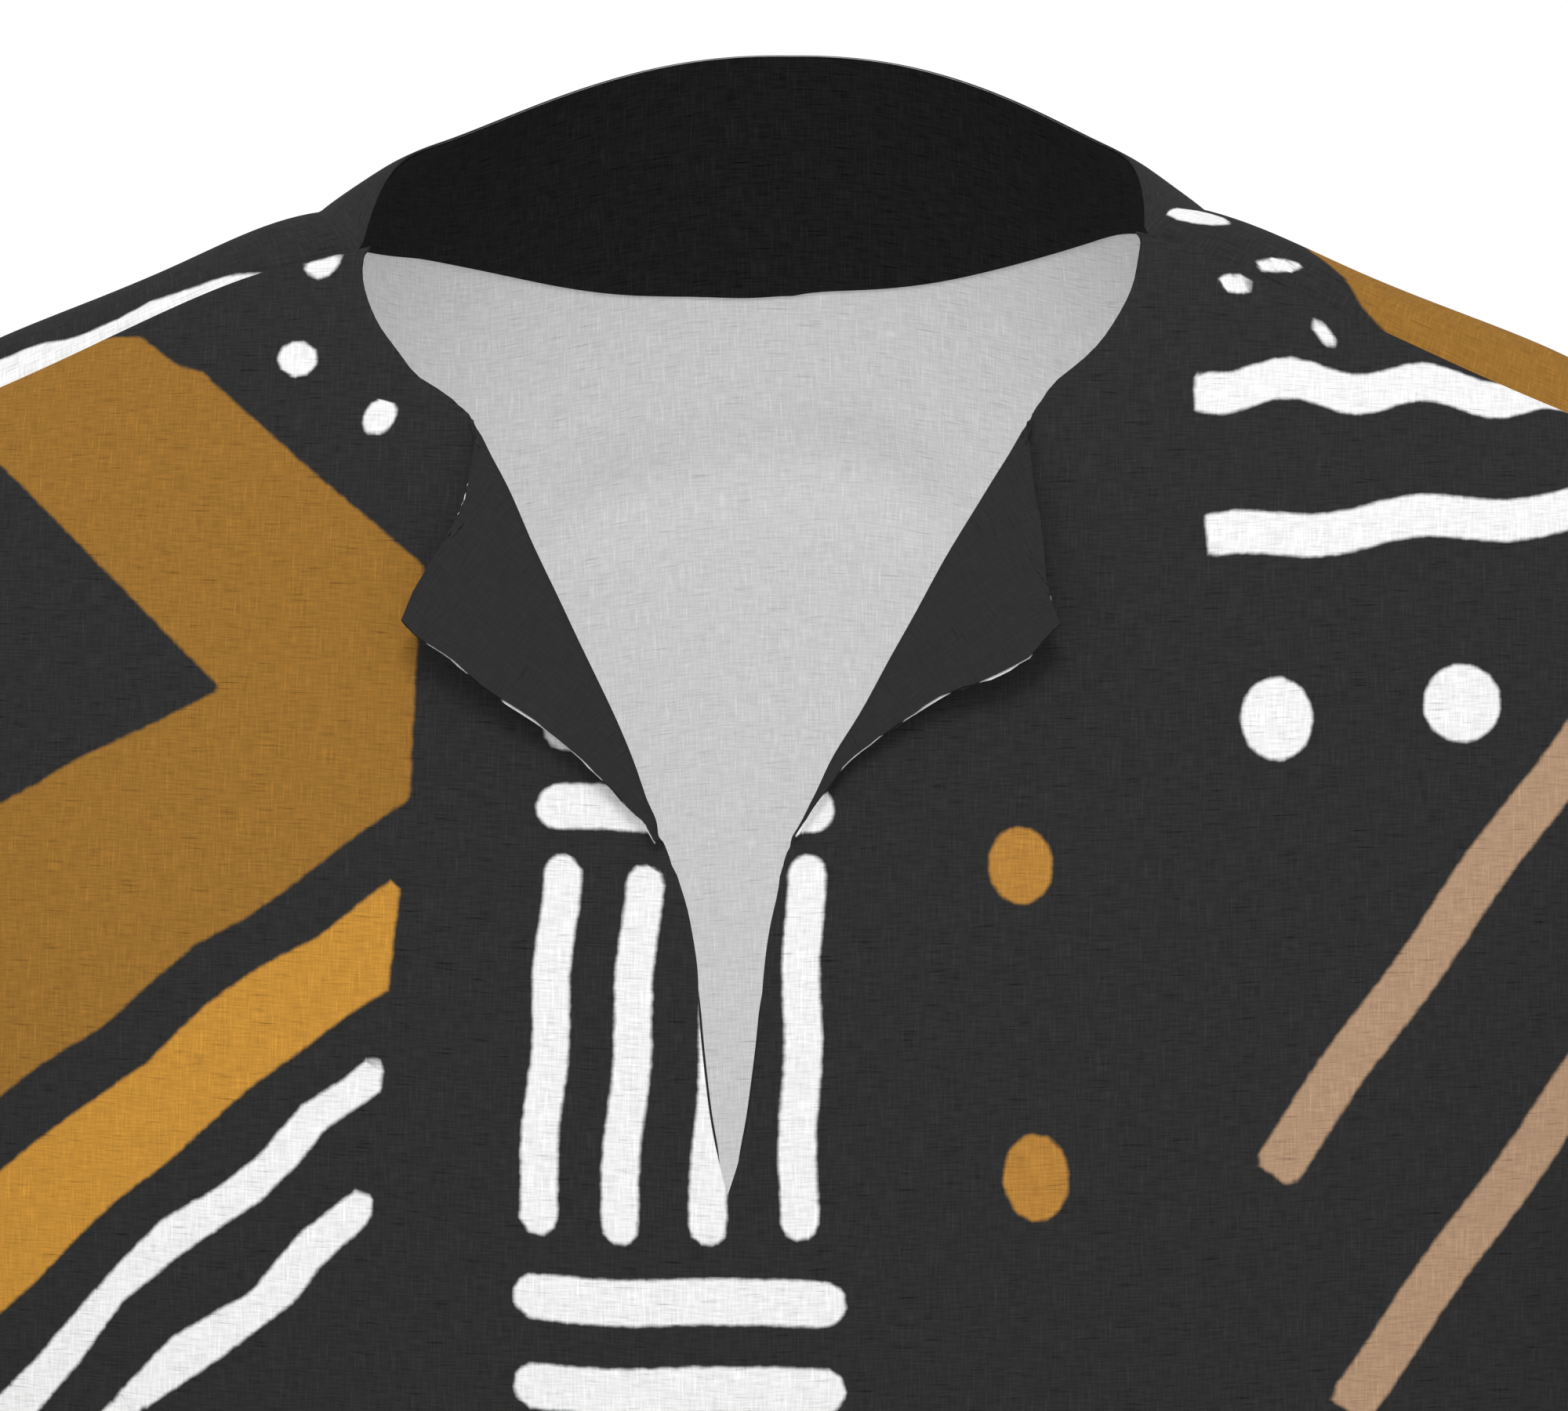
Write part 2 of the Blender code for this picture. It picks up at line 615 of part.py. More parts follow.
def inset_edges(points, band, corner_ids, corner_rows):
    """Draws a facing's free edges in, so that the printed cloth shows as a thin edge."""
    plain_rows = np.setdiff1d(np.arange(band.shape[0]), corner_rows[1:-1])
    for row in plain_rows:
        edge, inner = band[row, 0], band[row, 1]
        step = points[inner] - points[edge]
        points[edge] = points[edge] + step * FACING_INSET / np.linalg.norm(step)
    for row in range(1, corner_ids.shape[0] - 1):
        edge = corner_ids[row, -1]
        inner = corner_ids[row, np.flatnonzero(corner_ids[row] == edge)[0] - 1]
        step = points[inner] - points[edge]
        length = np.linalg.norm(step)
        points[edge] = points[edge] + step * min(FACING_INSET / length, 0.5)
    top, second = band[0], band[1]
    step = points[second] - points[top]
    points[top] = points[top] + step * SEAM_GAP / 2.0 / np.linalg.norm(step, axis=1, keepdims=True)


# ---------------------------------------------------------------- back and its neck facing


def back_facing_reach(across):
    """Down value of the neck facing's lower edge, a smile that falls towards the shoulder seams."""
    away = smooth_step(0.2 * BACK_FACING_END, 0.5 * BACK_FACING_END, np.abs(across))
    slant = BACK_FACING_SLANT * np.clip(across, -0.5 * BACK_FACING_END, 0.5 * BACK_FACING_END)
    return BACK_FACING_MIDDLE + (BACK_FACING_SIDE - BACK_FACING_MIDDLE) * away - slant


def back_upper_downs(across):
    """Down values of the back's rows above the underarm level, one along its facing's lower edge."""
    reach = back_facing_reach(across)[None]
    facing_part = np.linspace(0.0, 1.0, BACK_FACING_ROWS + 1)[:, None]
    rest_part = np.linspace(0.0, 1.0, BACK_ROWS_BELOW_FACING + 1)[1:, None]
    facing_rows = BACK_TOP_GAP + (reach - BACK_TOP_GAP) * facing_part
    return np.concatenate([facing_rows, reach + (1.0 - reach) * rest_part])


def back_grid():
    """Points of the back."""
    end = BACK_FACING_COLUMNS // 2
    inner = BACK_FACING_END * np.arange(-end, end + 1) / end
    outer = np.linspace(BACK_FACING_END, 1.0 - SEAM_GAP / 2.0 / CHEST_QUARTER, BACK_OUTER_COLUMNS + 1)[1:]
    across = np.concatenate([-outer[::-1], inner, outer])
    lower = np.linspace(1.0, 2.0, BODY_STEPS_BELOW_CHEST + 1)[1:, None]
    lower_rows = np.broadcast_to(lower, (BODY_STEPS_BELOW_CHEST, len(across)))
    down = np.concatenate([back_upper_downs(across), lower_rows])
    return body_point(across[None], down, "back")


def build_back():
    """The back wall, which comes forward over the shoulders, and the facing inside its neck."""
    grid = back_grid()
    ids = np.arange(grid.shape[0] * grid.shape[1]).reshape(grid.shape[:2])
    faces = grid_faces(ids)[:, ::-1]
    points = grid.reshape(-1, 3)
    normals = sheet_normals(points, faces)
    back = thick_object("back", points, faces, normals, PANEL_WALL, CHARCOAL)
    first, last = BACK_OUTER_COLUMNS, BACK_OUTER_COLUMNS + BACK_FACING_COLUMNS
    facing_ids = ids[: BACK_FACING_ROWS + 1, first : last + 1]
    own = points.copy()
    top, second = facing_ids[0], facing_ids[1]
    step = own[second] - own[top]
    own[top] += step * FACING_INSET / np.linalg.norm(step, axis=1, keepdims=True)
    apart = PANEL_WALL / 2.0 + LAYER_GAP + FACING_WALL / 2.0
    facing_faces = grid_faces(facing_ids)[:, ::-1]
    sheet, sheet_normal, sheet_faces = compact(own - normals * apart, normals, facing_faces)
    facing = thick_object("back_neck_facing", sheet, sheet_faces, sheet_normal, FACING_WALL, FACING_CHARCOAL)
    return [back, facing]


# ---------------------------------------------------------------- sleeves


def armhole_loop(side):
    """The armhole from the shoulder seam through the front to the underarm and up the back."""
    front_down = np.concatenate([down_of(front_rows(side)), [1.0]])
    back_down = back_upper_downs(np.array([side]))[:, 0]
    front = body_point(np.full_like(front_down, side), front_down, "front")
    back = body_point(np.full_like(back_down, side), back_down, "back")
    return np.concatenate([front, back[-2:0:-1]])


def cuff_loop(side, turn):
    """The sleeve's free end at turns from 0 at the top through the front."""
    slope = np.radians(SLEEVE_SLOPE_DEG)
    rise = np.array([np.sin(slope), 0.0, np.cos(slope)])
    front = np.array([0.0, -1.0, 0.0])
    angle = 2.0 * np.pi * turn[:, None]
    loop = np.array(CUFF_MIDDLE) + rise * CUFF_HALF_HEIGHT * np.cos(angle)
    loop = loop + front * CUFF_HALF_DEPTH * np.sin(angle)
    return loop * (side, 1.0, 1.0)


def build_sleeve(side, name):
    """A straight sleeve from the armhole to an open cuff above the elbow."""
    start = armhole_loop(side)
    count = len(start)
    length = np.linalg.norm(np.diff(start, axis=0), axis=1)
    turn = np.concatenate([[0.0], np.cumsum(length)])
    turn /= turn[-1] + np.linalg.norm(start[0] - start[-1])
    end = cuff_loop(side, turn)
    slope = np.radians(SLEEVE_SLOPE_DEG)
    axis = np.array([side * np.cos(slope), CUFF_FORWARD, -np.sin(slope)])
    shoulder = np.array(SHOULDER_LEAVE) * (side, 1.0, 1.0)
    top_share = (0.5 + 0.5 * np.cos(2.0 * np.pi * turn))[:, None]
    leave = axis * (1.0 - top_share) + shoulder * top_share
    leave /= np.linalg.norm(leave, axis=1, keepdims=True)
    clearance = SLEEVE_START_UNDERARM + (SLEEVE_START_TOP - SLEEVE_START_UNDERARM) * top_share
    start = start + leave * clearance
    span = np.linalg.norm(end - start, axis=1, keepdims=True)
    part = np.linspace(0.0, 1.0, SLEEVE_STEPS + 1)
    start_handle = start + leave * span * SLEEVE_START_HANDLE
    end_handle = end - axis * span * SLEEVE_END_HANDLE
    handles = (start[None], start_handle[None], end_handle[None], end[None])
    rings = bezier(handles, np.repeat(part[:, None], count, 1))
    middle = rings.mean(axis=1, keepdims=True)
    outward = rings - middle
    outward /= np.linalg.norm(outward, axis=2, keepdims=True)
    push = np.zeros(rings.shape[:2])
    for place, first, last, depth, half_width in SLEEVE_FOLDS:
        gap = np.abs(turn - place)
        gap = np.minimum(gap, 1.0 - gap)
        along = smooth_step(first, min(first + FOLD_GROWTH, last), part)
        push += depth * along[:, None] * np.exp(-((gap / half_width) ** 2))[None]
    rings = rings + outward * push[..., None]
    ids = np.arange(rings.shape[0] * count).reshape(rings.shape[:2])
    ids = np.concatenate([ids, ids[:, :1]], axis=1)
    faces = grid_faces(ids)
    if side > 0:
        faces = faces[:, ::-1]
    points = rings.reshape(-1, 3)
    normals = sheet_normals(points, faces)
    return thick_object(name, points, faces, normals, PANEL_WALL, CHARCOAL)


def main():
    """Builds every piece of the shirt."""
    clear_scene()
    build_front()
    build_back()
    build_sleeve(-1, "sleeve_right")
    build_sleeve(1, "sleeve_left")


main()
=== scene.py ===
"""Looks of a collarless dashiki shirt with the corners of its slit neck turned out.

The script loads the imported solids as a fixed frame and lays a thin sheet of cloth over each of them.
Sizes are in millimetres until a mesh is made. +X is the wearer's left, -Y the front and +Z up, and
the origin is the middle of the shoulder line at the neck. A side is 1 for the wearer's left and -1
for the right.

A point of a body panel is named by ``across`` (-1 at one side seam, 1 at the other) and ``down``
(0 at the shoulder seam or neck edge, 1 at the underarm level, 2 at the hem). A point of the flat
cloth is named by ``u``, millimetres sideways, and ``v``, millimetres upwards, so that v is below 0
down the cloth.
"""

import logging
import math
from dataclasses import dataclass
from enum import Enum

import bpy
import numpy as np
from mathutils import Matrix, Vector

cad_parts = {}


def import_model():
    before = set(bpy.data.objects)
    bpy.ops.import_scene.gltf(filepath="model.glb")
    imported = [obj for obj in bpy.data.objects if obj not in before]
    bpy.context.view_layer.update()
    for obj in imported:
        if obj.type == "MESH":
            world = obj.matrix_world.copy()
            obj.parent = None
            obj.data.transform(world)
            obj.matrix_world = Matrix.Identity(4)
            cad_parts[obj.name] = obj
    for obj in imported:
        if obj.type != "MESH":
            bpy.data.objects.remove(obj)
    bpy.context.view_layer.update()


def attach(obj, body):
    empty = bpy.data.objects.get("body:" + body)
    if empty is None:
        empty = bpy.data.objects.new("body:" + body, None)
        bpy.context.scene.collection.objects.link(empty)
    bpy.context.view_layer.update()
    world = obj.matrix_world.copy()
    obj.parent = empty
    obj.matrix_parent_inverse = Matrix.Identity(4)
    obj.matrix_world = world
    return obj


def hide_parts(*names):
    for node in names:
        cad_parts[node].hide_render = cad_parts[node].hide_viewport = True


LOG = logging.getLogger("dashiki")
MM = 0.001
UV_NAME = "cloth"

Array = np.ndarray
Pair = tuple[float, float]
Place = tuple[float, float, float]
Table = tuple[tuple[float, ...], ...]
Inks = dict["Ink", Array]

LEFT, RIGHT = 1, -1
TINY = 1e-6

# ---------------------------------------------------------------- the cut


class Cloth(Enum):
    """The kinds of cloth that folds, creases and points are given for."""

    FRONT = "front"
    BACK = "back"
    SLEEVE = "sleeve"


# Chest and hem
CHEST_HALF_WIDTH = 238.0
CHEST_FRONT_DEPTH = 116.0
CHEST_BACK_DEPTH = 106.0
CHEST_MIDDLE_Y = 5.0
CHEST_QUARTER = 286.0
UNDERARM_Z = -292.0
HEM_Z = -752.0
HEM_HALF_WIDTH = 262.0
HEM_FRONT_DEPTH = 128.0
HEM_BACK_DEPTH = 120.0
SECTION_POWER = 2.25
WIDEN_END = 1.25

# Neck and slit
NECK_HALF_WIDTH = 95.2
NECK_BULGE = 1.6
NECK_BULGE_FADE_DEG = (60.0, 88.0)
NECK_POINT_Y = -40.0
NECK_POINT_Z = -16.0
NECK_BACK_REACH = 115.0
NECK_POINT_SHIFT = 2.2
NECK_POINT_SPREAD = 24.0
NECK_END_ACROSS = 0.50
SLIT_BOTTOM_Z = -239.0

# The fold lines over which the corners of the neck are turned out
FOLD_TOP_Z = -57.0
FOLD_BOTTOM_Z = -162.0
# Width of turned cloth, radius of its roll
ROLL = ((0.0, 6.0), (1.0, 3.0), (2.0, 1.9), (3.0, 1.55), (4.0, 1.5), (5.0, 1.6), (6.0, 1.7))
# How far each corner's cloth ran past its fold line before it was turned out, by side.
# Height, width
CORNERS = {
    RIGHT: (
        (FOLD_TOP_Z, 0.0), (-61.0, 0.7), (-64.0, 3.4), (-66.8, 7.1), (-68.6, 11.6), (-72.6, 19.7),
        (-75.0, 26.6), (-75.5, 29.6), (-75.8, 31.4), (-76.4, 42.4), (-81.7, 40.5), (-83.7, 39.5),
        (-97.3, 33.3), (-105.6, 28.7), (-116.1, 22.7), (-129.1, 16.4), (-136.7, 12.8), (-144.9, 8.9),
        (-154.5, 5.0), (FOLD_BOTTOM_Z, 0.0),
    ),
    LEFT: (
        (FOLD_TOP_Z, 0.0), (-61.0, 1.4), (-64.0, 5.6), (-66.4, 11.6), (-68.2, 17.3), (-72.0, 26.6),
        (-75.6, 35.0), (-77.2, 39.2), (-77.6, 40.4), (-88.7, 37.1), (-100.4, 28.4), (-107.9, 22.7),
        (-119.5, 15.5), (-125.7, 11.9), (-138.0, 7.1), (-147.0, 5.0), (-155.0, 3.0), (FOLD_BOTTOM_Z, 0.0),
    ),
}
# Reach of the neck opening from the middle, by side.
# Height, reach
OPENING = {
    RIGHT: (
        (NECK_POINT_Z, 94.0), (-17.6, 95.0), (-20.3, 95.5), (-31.3, 92.9), (-37.8, 89.7), (-46.4, 83.5),
        (-53.1, 76.7), (-55.0, 73.3), (-56.9, 70.7), (-58.7, 69.2), (-60.9, 67.1), (-63.2, 67.2),
        (-65.1, 66.2), (-71.0, 62.7), (-77.2, 58.9), (-90.6, 52.0), (-103.0, 45.2), (-113.0, 39.8),
        (-123.7, 33.9), (-134.9, 28.1), (-145.6, 23.6), (-149.6, 22.0), (-153.8, 20.0), (-157.7, 18.8),
        (-160.5, 15.8), (-163.5, 13.4), (-166.5, 12.2), (-171.5, 10.5), (-175.1, 9.6), (-181.2, 8.4),
        (-186.9, 7.6), (-193.8, 7.3), (-208.6, 5.9), (-223.8, 3.7), (SLIT_BOTTOM_Z, 0.0),
    ),
    LEFT: (
        (NECK_POINT_Z, 94.0), (-17.6, 95.0), (-20.5, 95.0), (-28.0, 93.7), (-36.0, 90.0), (-43.6, 84.7),
        (-48.7, 79.3), (-52.6, 74.8), (-55.4, 72.8), (-58.4, 71.2), (-62.4, 70.9), (-65.9, 69.3),
        (-69.3, 67.4), (-75.9, 63.3), (-82.5, 59.2), (-94.4, 51.8), (-107.3, 44.6), (-118.4, 38.2),
        (-130.7, 31.2), (-139.6, 25.5), (-146.6, 22.1), (-149.7, 20.4), (-152.6, 18.9), (-157.5, 15.9),
        (-159.4, 14.4), (-161.9, 12.4), (-166.2, 11.4), (-173.7, 9.9), (-186.4, 8.1), (-200.4, 7.1),
        (-213.2, 5.7), (-228.5, 3.2), (SLIT_BOTTOM_Z, 0.0),
    ),
}

# Cloth and seams
PANEL_CLOTH = 0.5
FACING_CLOTH = 0.5
LAYER_GAP = 0.05
FACING_INSET = 0.4
BACK_FACING_END = 0.60
# Distances from a seam or an edge of the cloth at which the grids have points
SEAM_STEPS = (0.0, 0.35, 0.8, 1.5, 2.6)
SEAM_DIP = 0.55
SEAM_WIDTH = 1.1
FAR_FROM_SEAM = 99.0
# The last row of cloth above the hem, as a down value
HEM_ROW_DOWN = 1.9985
# The lower edge of the neck facing: across, down
FACING_EDGE = (
    (-BACK_FACING_END, 0.261),
    (-0.36, 0.2605), (-0.335, 0.256), (-0.32, 0.2557), (-0.25, 0.2646), (-0.2, 0.2738),
    (-0.14, 0.2792), (-0.077, 0.2768), (-0.03, 0.2732), (0.0, 0.2682), (0.055, 0.2684), (0.115, 0.266),
    (0.165, 0.2567), (0.224, 0.2402), (0.278, 0.2227), (0.322, 0.2145), (0.345, 0.2195),
    (BACK_FACING_END, 0.2195),
)

# The back's neck edge: turn from the middle in degrees, height. The first row mirrors the third.
NECK_EDGE = (
    (-16.0, 24.2), (0.0, 26.0), (16.0, 24.2), (36.0, 15.9), (58.0, 5.6), (70.0, 1.2), (80.0, -6.5),
    (90.0, NECK_POINT_Z),
)
# across, top_x, top_y, top_z, start_x, start_y, start_z, end_x, end_y, end_z
FRONT_SECTIONS = (
    (0.0, 0.0, -54.0, -16.0, 0.0, -27.0, -44.0, 0.0, 0.0, 96.0),
    (0.33, 95.0, -40.0, -16.0, 0.0, -31.0, -42.0, 0.0, 0.0, 96.0),
    (0.62, 176.0, -26.0, -48.5, 1.0, -33.0, -36.0, 0.0, -2.0, 96.0),
    (0.84, 231.0, -14.0, -72.0, 6.0, -40.0, -34.0, 10.0, -16.0, 92.0),
    (1.0, 263.0, -5.0, -87.0, 12.0, -58.0, -20.0, 16.0, -84.0, 26.0),
)
# across, shoulder_x, shoulder_y, shoulder_z, end_x, end_y, end_z
BACK_SECTIONS = (
    (0.0, 0.0, 87.0, -24.0, 0.0, 4.0, 100.0),
    (0.12, 39.0, 81.0, -21.0, 0.0, 6.0, 120.0),
    (0.25, 77.0, 59.0, -14.0, 0.0, 8.0, 145.0),
    (0.38, 106.0, 24.0, 3.0, 0.0, 10.0, 165.0),
    (0.5, 125.0, 4.0, 22.0, 0.0, 11.0, 180.0),
    (0.62, 151.0, 9.0, 8.0, 0.0, 11.0, 178.0),
    (0.8, 208.0, 22.0, -16.0, 2.0, 14.0, 165.0),
    (0.91, 241.0, 34.0, -49.0, 8.0, 40.0, 90.0),
    (1.0, 273.0, 57.0, -85.0, 14.0, 60.0, 40.0),
)

# Large folds: across, top_z, bottom_z, depth, half_width, lean
FOLDS = {
    Cloth.FRONT: (
        (-0.78, -360.0, HEM_Z, 6.5, 0.085, 0.1),
        (-0.47, -470.0, HEM_Z, -5.0, 0.08, 0.05),
        (-0.2, -520.0, HEM_Z, 4.5, 0.08, -0.04),
        (0.13, -440.0, HEM_Z, -4.5, 0.085, 0.03),
        (0.4, -540.0, HEM_Z, 5.0, 0.075, 0.05),
        (0.72, -350.0, HEM_Z, 6.5, 0.09, -0.1),
        (0.93, -330.0, -560.0, -4.0, 0.06, -0.05),
    ),
    Cloth.BACK: (
        (-0.8, -340.0, HEM_Z, 7.0, 0.09, 0.1),
        (-0.5, -430.0, HEM_Z, -5.5, 0.085, 0.05),
        (-0.16, -380.0, HEM_Z, 6.0, 0.09, 0.05),
        (0.19, -460.0, HEM_Z, -5.0, 0.085, -0.04),
        (0.5, -410.0, HEM_Z, 5.5, 0.08, -0.05),
        (0.8, -350.0, HEM_Z, 6.5, 0.09, -0.1),
    ),
}
FOLD_GROWN = 0.8
# Creases: start_u, start_v, end_u, end_v, bow, depth, half_width
CREASES = {
    Cloth.FRONT: (
        (-250.0, -330.0, -120.0, -420.0, -10.0, 2.6, 11.0),
        (250.0, -325.0, 130.0, -430.0, 12.0, 2.6, 12.0),
        (-262.0, -380.0, -170.0, -500.0, -8.0, -2.9, 10.0),
        (262.0, -390.0, 180.0, -520.0, 8.0, -2.9, 10.0),
        (-60.0, -430.0, -95.0, -700.0, 9.0, 2.6, 13.0),
        (60.0, -470.0, 85.0, -730.0, -8.0, 2.9, 12.0),
        (15.0, -560.0, 5.0, -770.0, 5.0, -2.6, 12.0),
        (-200.0, -560.0, -215.0, -760.0, 6.0, -2.9, 11.0),
        (205.0, -600.0, 212.0, -770.0, -6.0, 2.6, 11.0),
    ),
    Cloth.BACK: (
        (-240.0, -220.0, -90.0, -330.0, -14.0, 4.1, 14.0),
        (235.0, -215.0, 95.0, -340.0, 14.0, 4.1, 14.0),
        (-250.0, -330.0, -150.0, -470.0, -10.0, -3.4, 12.0),
        (250.0, -345.0, 160.0, -480.0, 10.0, -3.4, 12.0),
        (-70.0, -120.0, 60.0, -128.0, 16.0, 2.7, 12.0),
        (20.0, -420.0, 35.0, -760.0, -9.0, 3.4, 13.0),
        (-110.0, -520.0, -100.0, -790.0, 6.0, 2.7, 12.0),
        (120.0, -560.0, 112.0, -800.0, -6.0, -3.1, 12.0),
    ),
    Cloth.SLEEVE: (
        (60.0, -40.0, 30.0, -190.0, 6.0, 3.2, 10.0),
        (150.0, -30.0, 175.0, -170.0, -8.0, 3.5, 11.0),
        (230.0, -60.0, 215.0, -215.0, 6.0, -2.9, 10.0),
        (330.0, -35.0, 345.0, -190.0, 7.0, 3.2, 11.0),
        (420.0, -50.0, 400.0, -200.0, -6.0, -2.6, 10.0),
    ),
}
CREASE_START = (-0.05, 0.3)
CREASE_END = (0.65, 1.05)
# How much a crease wavers sideways and in depth, and at what rate along it
CREASE_WAVER, WAVER_RATE = 2.2, 9.0
CREASE_UNEVEN, UNEVEN_RATE = 0.25, 13.0

# ---------------------------------------------------------------- curves


def smooth_step(low: float, high: float, value: Array) -> Array:
    """0 below low, 1 above high, with a soft change between them."""
    part = np.clip((value - low) / (high - low), 0.0, 1.0)
    return part * part * (3.0 - 2.0 * part)


def through(table: Table | Array, at: Array) -> Array:
    """A natural cubic curve through a table's rows.

    Args:
        table: Rows with a key, rising from row to row, and then one or more values.
        at: Keys to look up.

    Returns:
        The value at each key, or a row of values if the table has more than one.
    """
    table = np.asarray(table, float)
    keys, values = table[:, 0], table[:, 1:]
    step = np.diff(keys)
    count = len(keys)
    left = np.zeros((count, count))
    right = np.zeros(values.shape)
    left[0, 0] = left[-1, -1] = 1.0
    slope = np.diff(values, axis=0) / step[:, None]
    for k in range(1, count - 1):
        left[k, k - 1 : k + 2] = step[k - 1], 2.0 * (step[k - 1] + step[k]), step[k]
        right[k] = 6.0 * (slope[k] - slope[k - 1])
    bend = np.linalg.solve(left, right)
    at = np.asarray(at, float)
    k = np.clip(np.searchsorted(keys, at, side="right") - 1, 0, count - 2)
    h = step[k][..., None]
    a = (keys[k + 1] - at)[..., None] / h
    b = 1.0 - a
    curve = a * values[k] + b * values[k + 1]
    curve = curve + ((a**3 - a) * bend[k] + (b**3 - b) * bend[k + 1]) * h * h / 6.0
    return curve[..., 0] if values.shape[1] == 1 else curve


def bezier(points: tuple[Array, ...], part: Array) -> Array:
    """Cubic curve with four control points, at part 0 to 1.

    Args:
        points: The control points, each for every curve.
        part: How far along the curves.

    Returns:
        A point for each part.
    """
    part = part[..., None]
    rest = 1.0 - part
    first, second, third, fourth = points
    return (
        rest**3 * first
        + 3.0 * rest**2 * part * second
        + 3.0 * rest * part**2 * third
        + part**3 * fourth
    )


def unit(vectors: Array) -> Array:
    """Vectors at length 1."""
    length = np.linalg.norm(vectors, axis=-1, keepdims=True)
    return vectors / np.where(length > 0.0, length, 1.0)


def run_lengths(points: Array) -> Array:
    """Length run down each column of points, up to each of them."""
    step = np.linalg.norm(np.diff(points, axis=0), axis=-1)
    return np.concatenate([np.zeros_like(step[:1]), np.cumsum(step, axis=0)])


def spaced(steps: Array | tuple[float, ...], end: float, count: int) -> Array:
    """Places that start as steps say and go on evenly to an end, with a count of places after them."""
    return np.concatenate([steps, np.linspace(steps[-1], end, count + 1)[1:]])


def seam_dip(gap: Array) -> Array:
    """How deep a seam draws the cloth in at distances from it."""
    return SEAM_DIP * np.exp(-((gap / SEAM_WIDTH) ** 2))


# ---------------------------------------------------------------- the body's form

# Points of the curves that are measured to look a place up on them
LOOK_UP = 400
# Part of a panel over which its slope is measured
NORMAL_STEP = 1e-3
# How sharply the large folds fade towards the side seams
FOLD_FADE = 10
SIDE_FADE = 6


def quarter_section(across: Array) -> tuple[Array, Array]:
    """Unit quarter oval at even distances along it.

    Args:
        across: Values of 0 in the middle to 1 at the side.

    Returns:
        Sideways and depth, each from 0 to 1.
    """
    turn = np.linspace(0.0, np.pi / 2.0, LOOK_UP)
    side = np.sin(turn) ** (2.0 / SECTION_POWER)
    depth = np.cos(turn) ** (2.0 / SECTION_POWER)
    stretch = np.hypot(np.diff(side) * CHEST_HALF_WIDTH, np.diff(depth) * CHEST_FRONT_DEPTH)
    length = np.concatenate(([0.0], np.cumsum(stretch)))
    at = np.asarray(across, float) * length[-1]
    return np.interp(at, length, side), np.interp(at, length, depth)


def opening_at(height: Array, side: int) -> Array:
    """Reach of the neck opening to one side at a height."""
    return through(np.array(OPENING[side]) * (-1.0, 1.0), -np.asarray(height, float))


def chest_point(across: Array, panel: Cloth) -> Array:
    """Points of the chest section at the underarm level.

    Args:
        across: Across values.
        panel: The front or the back.

    Returns:
        The points.
    """
    side, depth = quarter_section(np.abs(across))
    reach = -CHEST_FRONT_DEPTH if panel is Cloth.FRONT else CHEST_BACK_DEPTH
    x = CHEST_HALF_WIDTH * side
    y = CHEST_MIDDLE_Y + reach * depth
    return np.stack([x, y, np.full_like(x, UNDERARM_Z)], -1)


def upper_front(across: Array, down: Array) -> Array:
    """Front between the shoulder line and the underarm level, for across >= 0.

    Args:
        across: Across values.
        down: Down values.

    Returns:
        The points.
    """
    row = through(FRONT_SECTIONS, across)
    top = row[..., 0:3]
    low = chest_point(across, Cloth.FRONT)
    return bezier((top, top + row[..., 3:6], low + row[..., 6:9], low), down)


def neck_edge(turn: Array) -> Array:
    """The back's neck edge at a turn of 0 in the middle to pi / 2 at a neck point.

    Args:
        turn: Turns, in radians.

    Returns:
        The points.
    """
    degrees = np.degrees(turn)
    bulge = NECK_BULGE * (1.0 - smooth_step(*NECK_BULGE_FADE_DEG, degrees))
    x = (NECK_HALF_WIDTH + bulge) * np.sin(turn)
    y = NECK_POINT_Y + NECK_BACK_REACH * np.cos(turn)
    return np.stack([x, y, through(NECK_EDGE, degrees)], -1)


def seam_point(reach: Array) -> Array:
    """Shoulder seam, from a neck point at reach 0 to the armhole at reach 1.

    Args:
        reach: How far along the seam.

    Returns:
        The points.
    """
    table = np.array(FRONT_SECTIONS)
    start, end = table[1, 0], table[-1, 0]
    return through(table[:, :4], start + (end - start) * reach)


def upper_back(across: Array, down: Array) -> Array:
    """Back between its top edge and the underarm level, for across >= 0.

    Args:
        across: Across values.
        down: Down values.

    Returns:
        The points.
    """
    row = through(BACK_SECTIONS, across)
    turn = np.pi / 2.0 * np.clip(across / NECK_END_ACROSS, 0.0, 1.0)
    reach = np.clip((across - NECK_END_ACROSS) / (1.0 - NECK_END_ACROSS), 0.0, 1.0)
    on_neck = (across <= NECK_END_ACROSS)[..., None]
    top = np.where(on_neck, neck_edge(turn), seam_point(reach))
    low = chest_point(across, Cloth.BACK)
    return bezier((top, row[..., 0:3], low + row[..., 3:6], low), down)


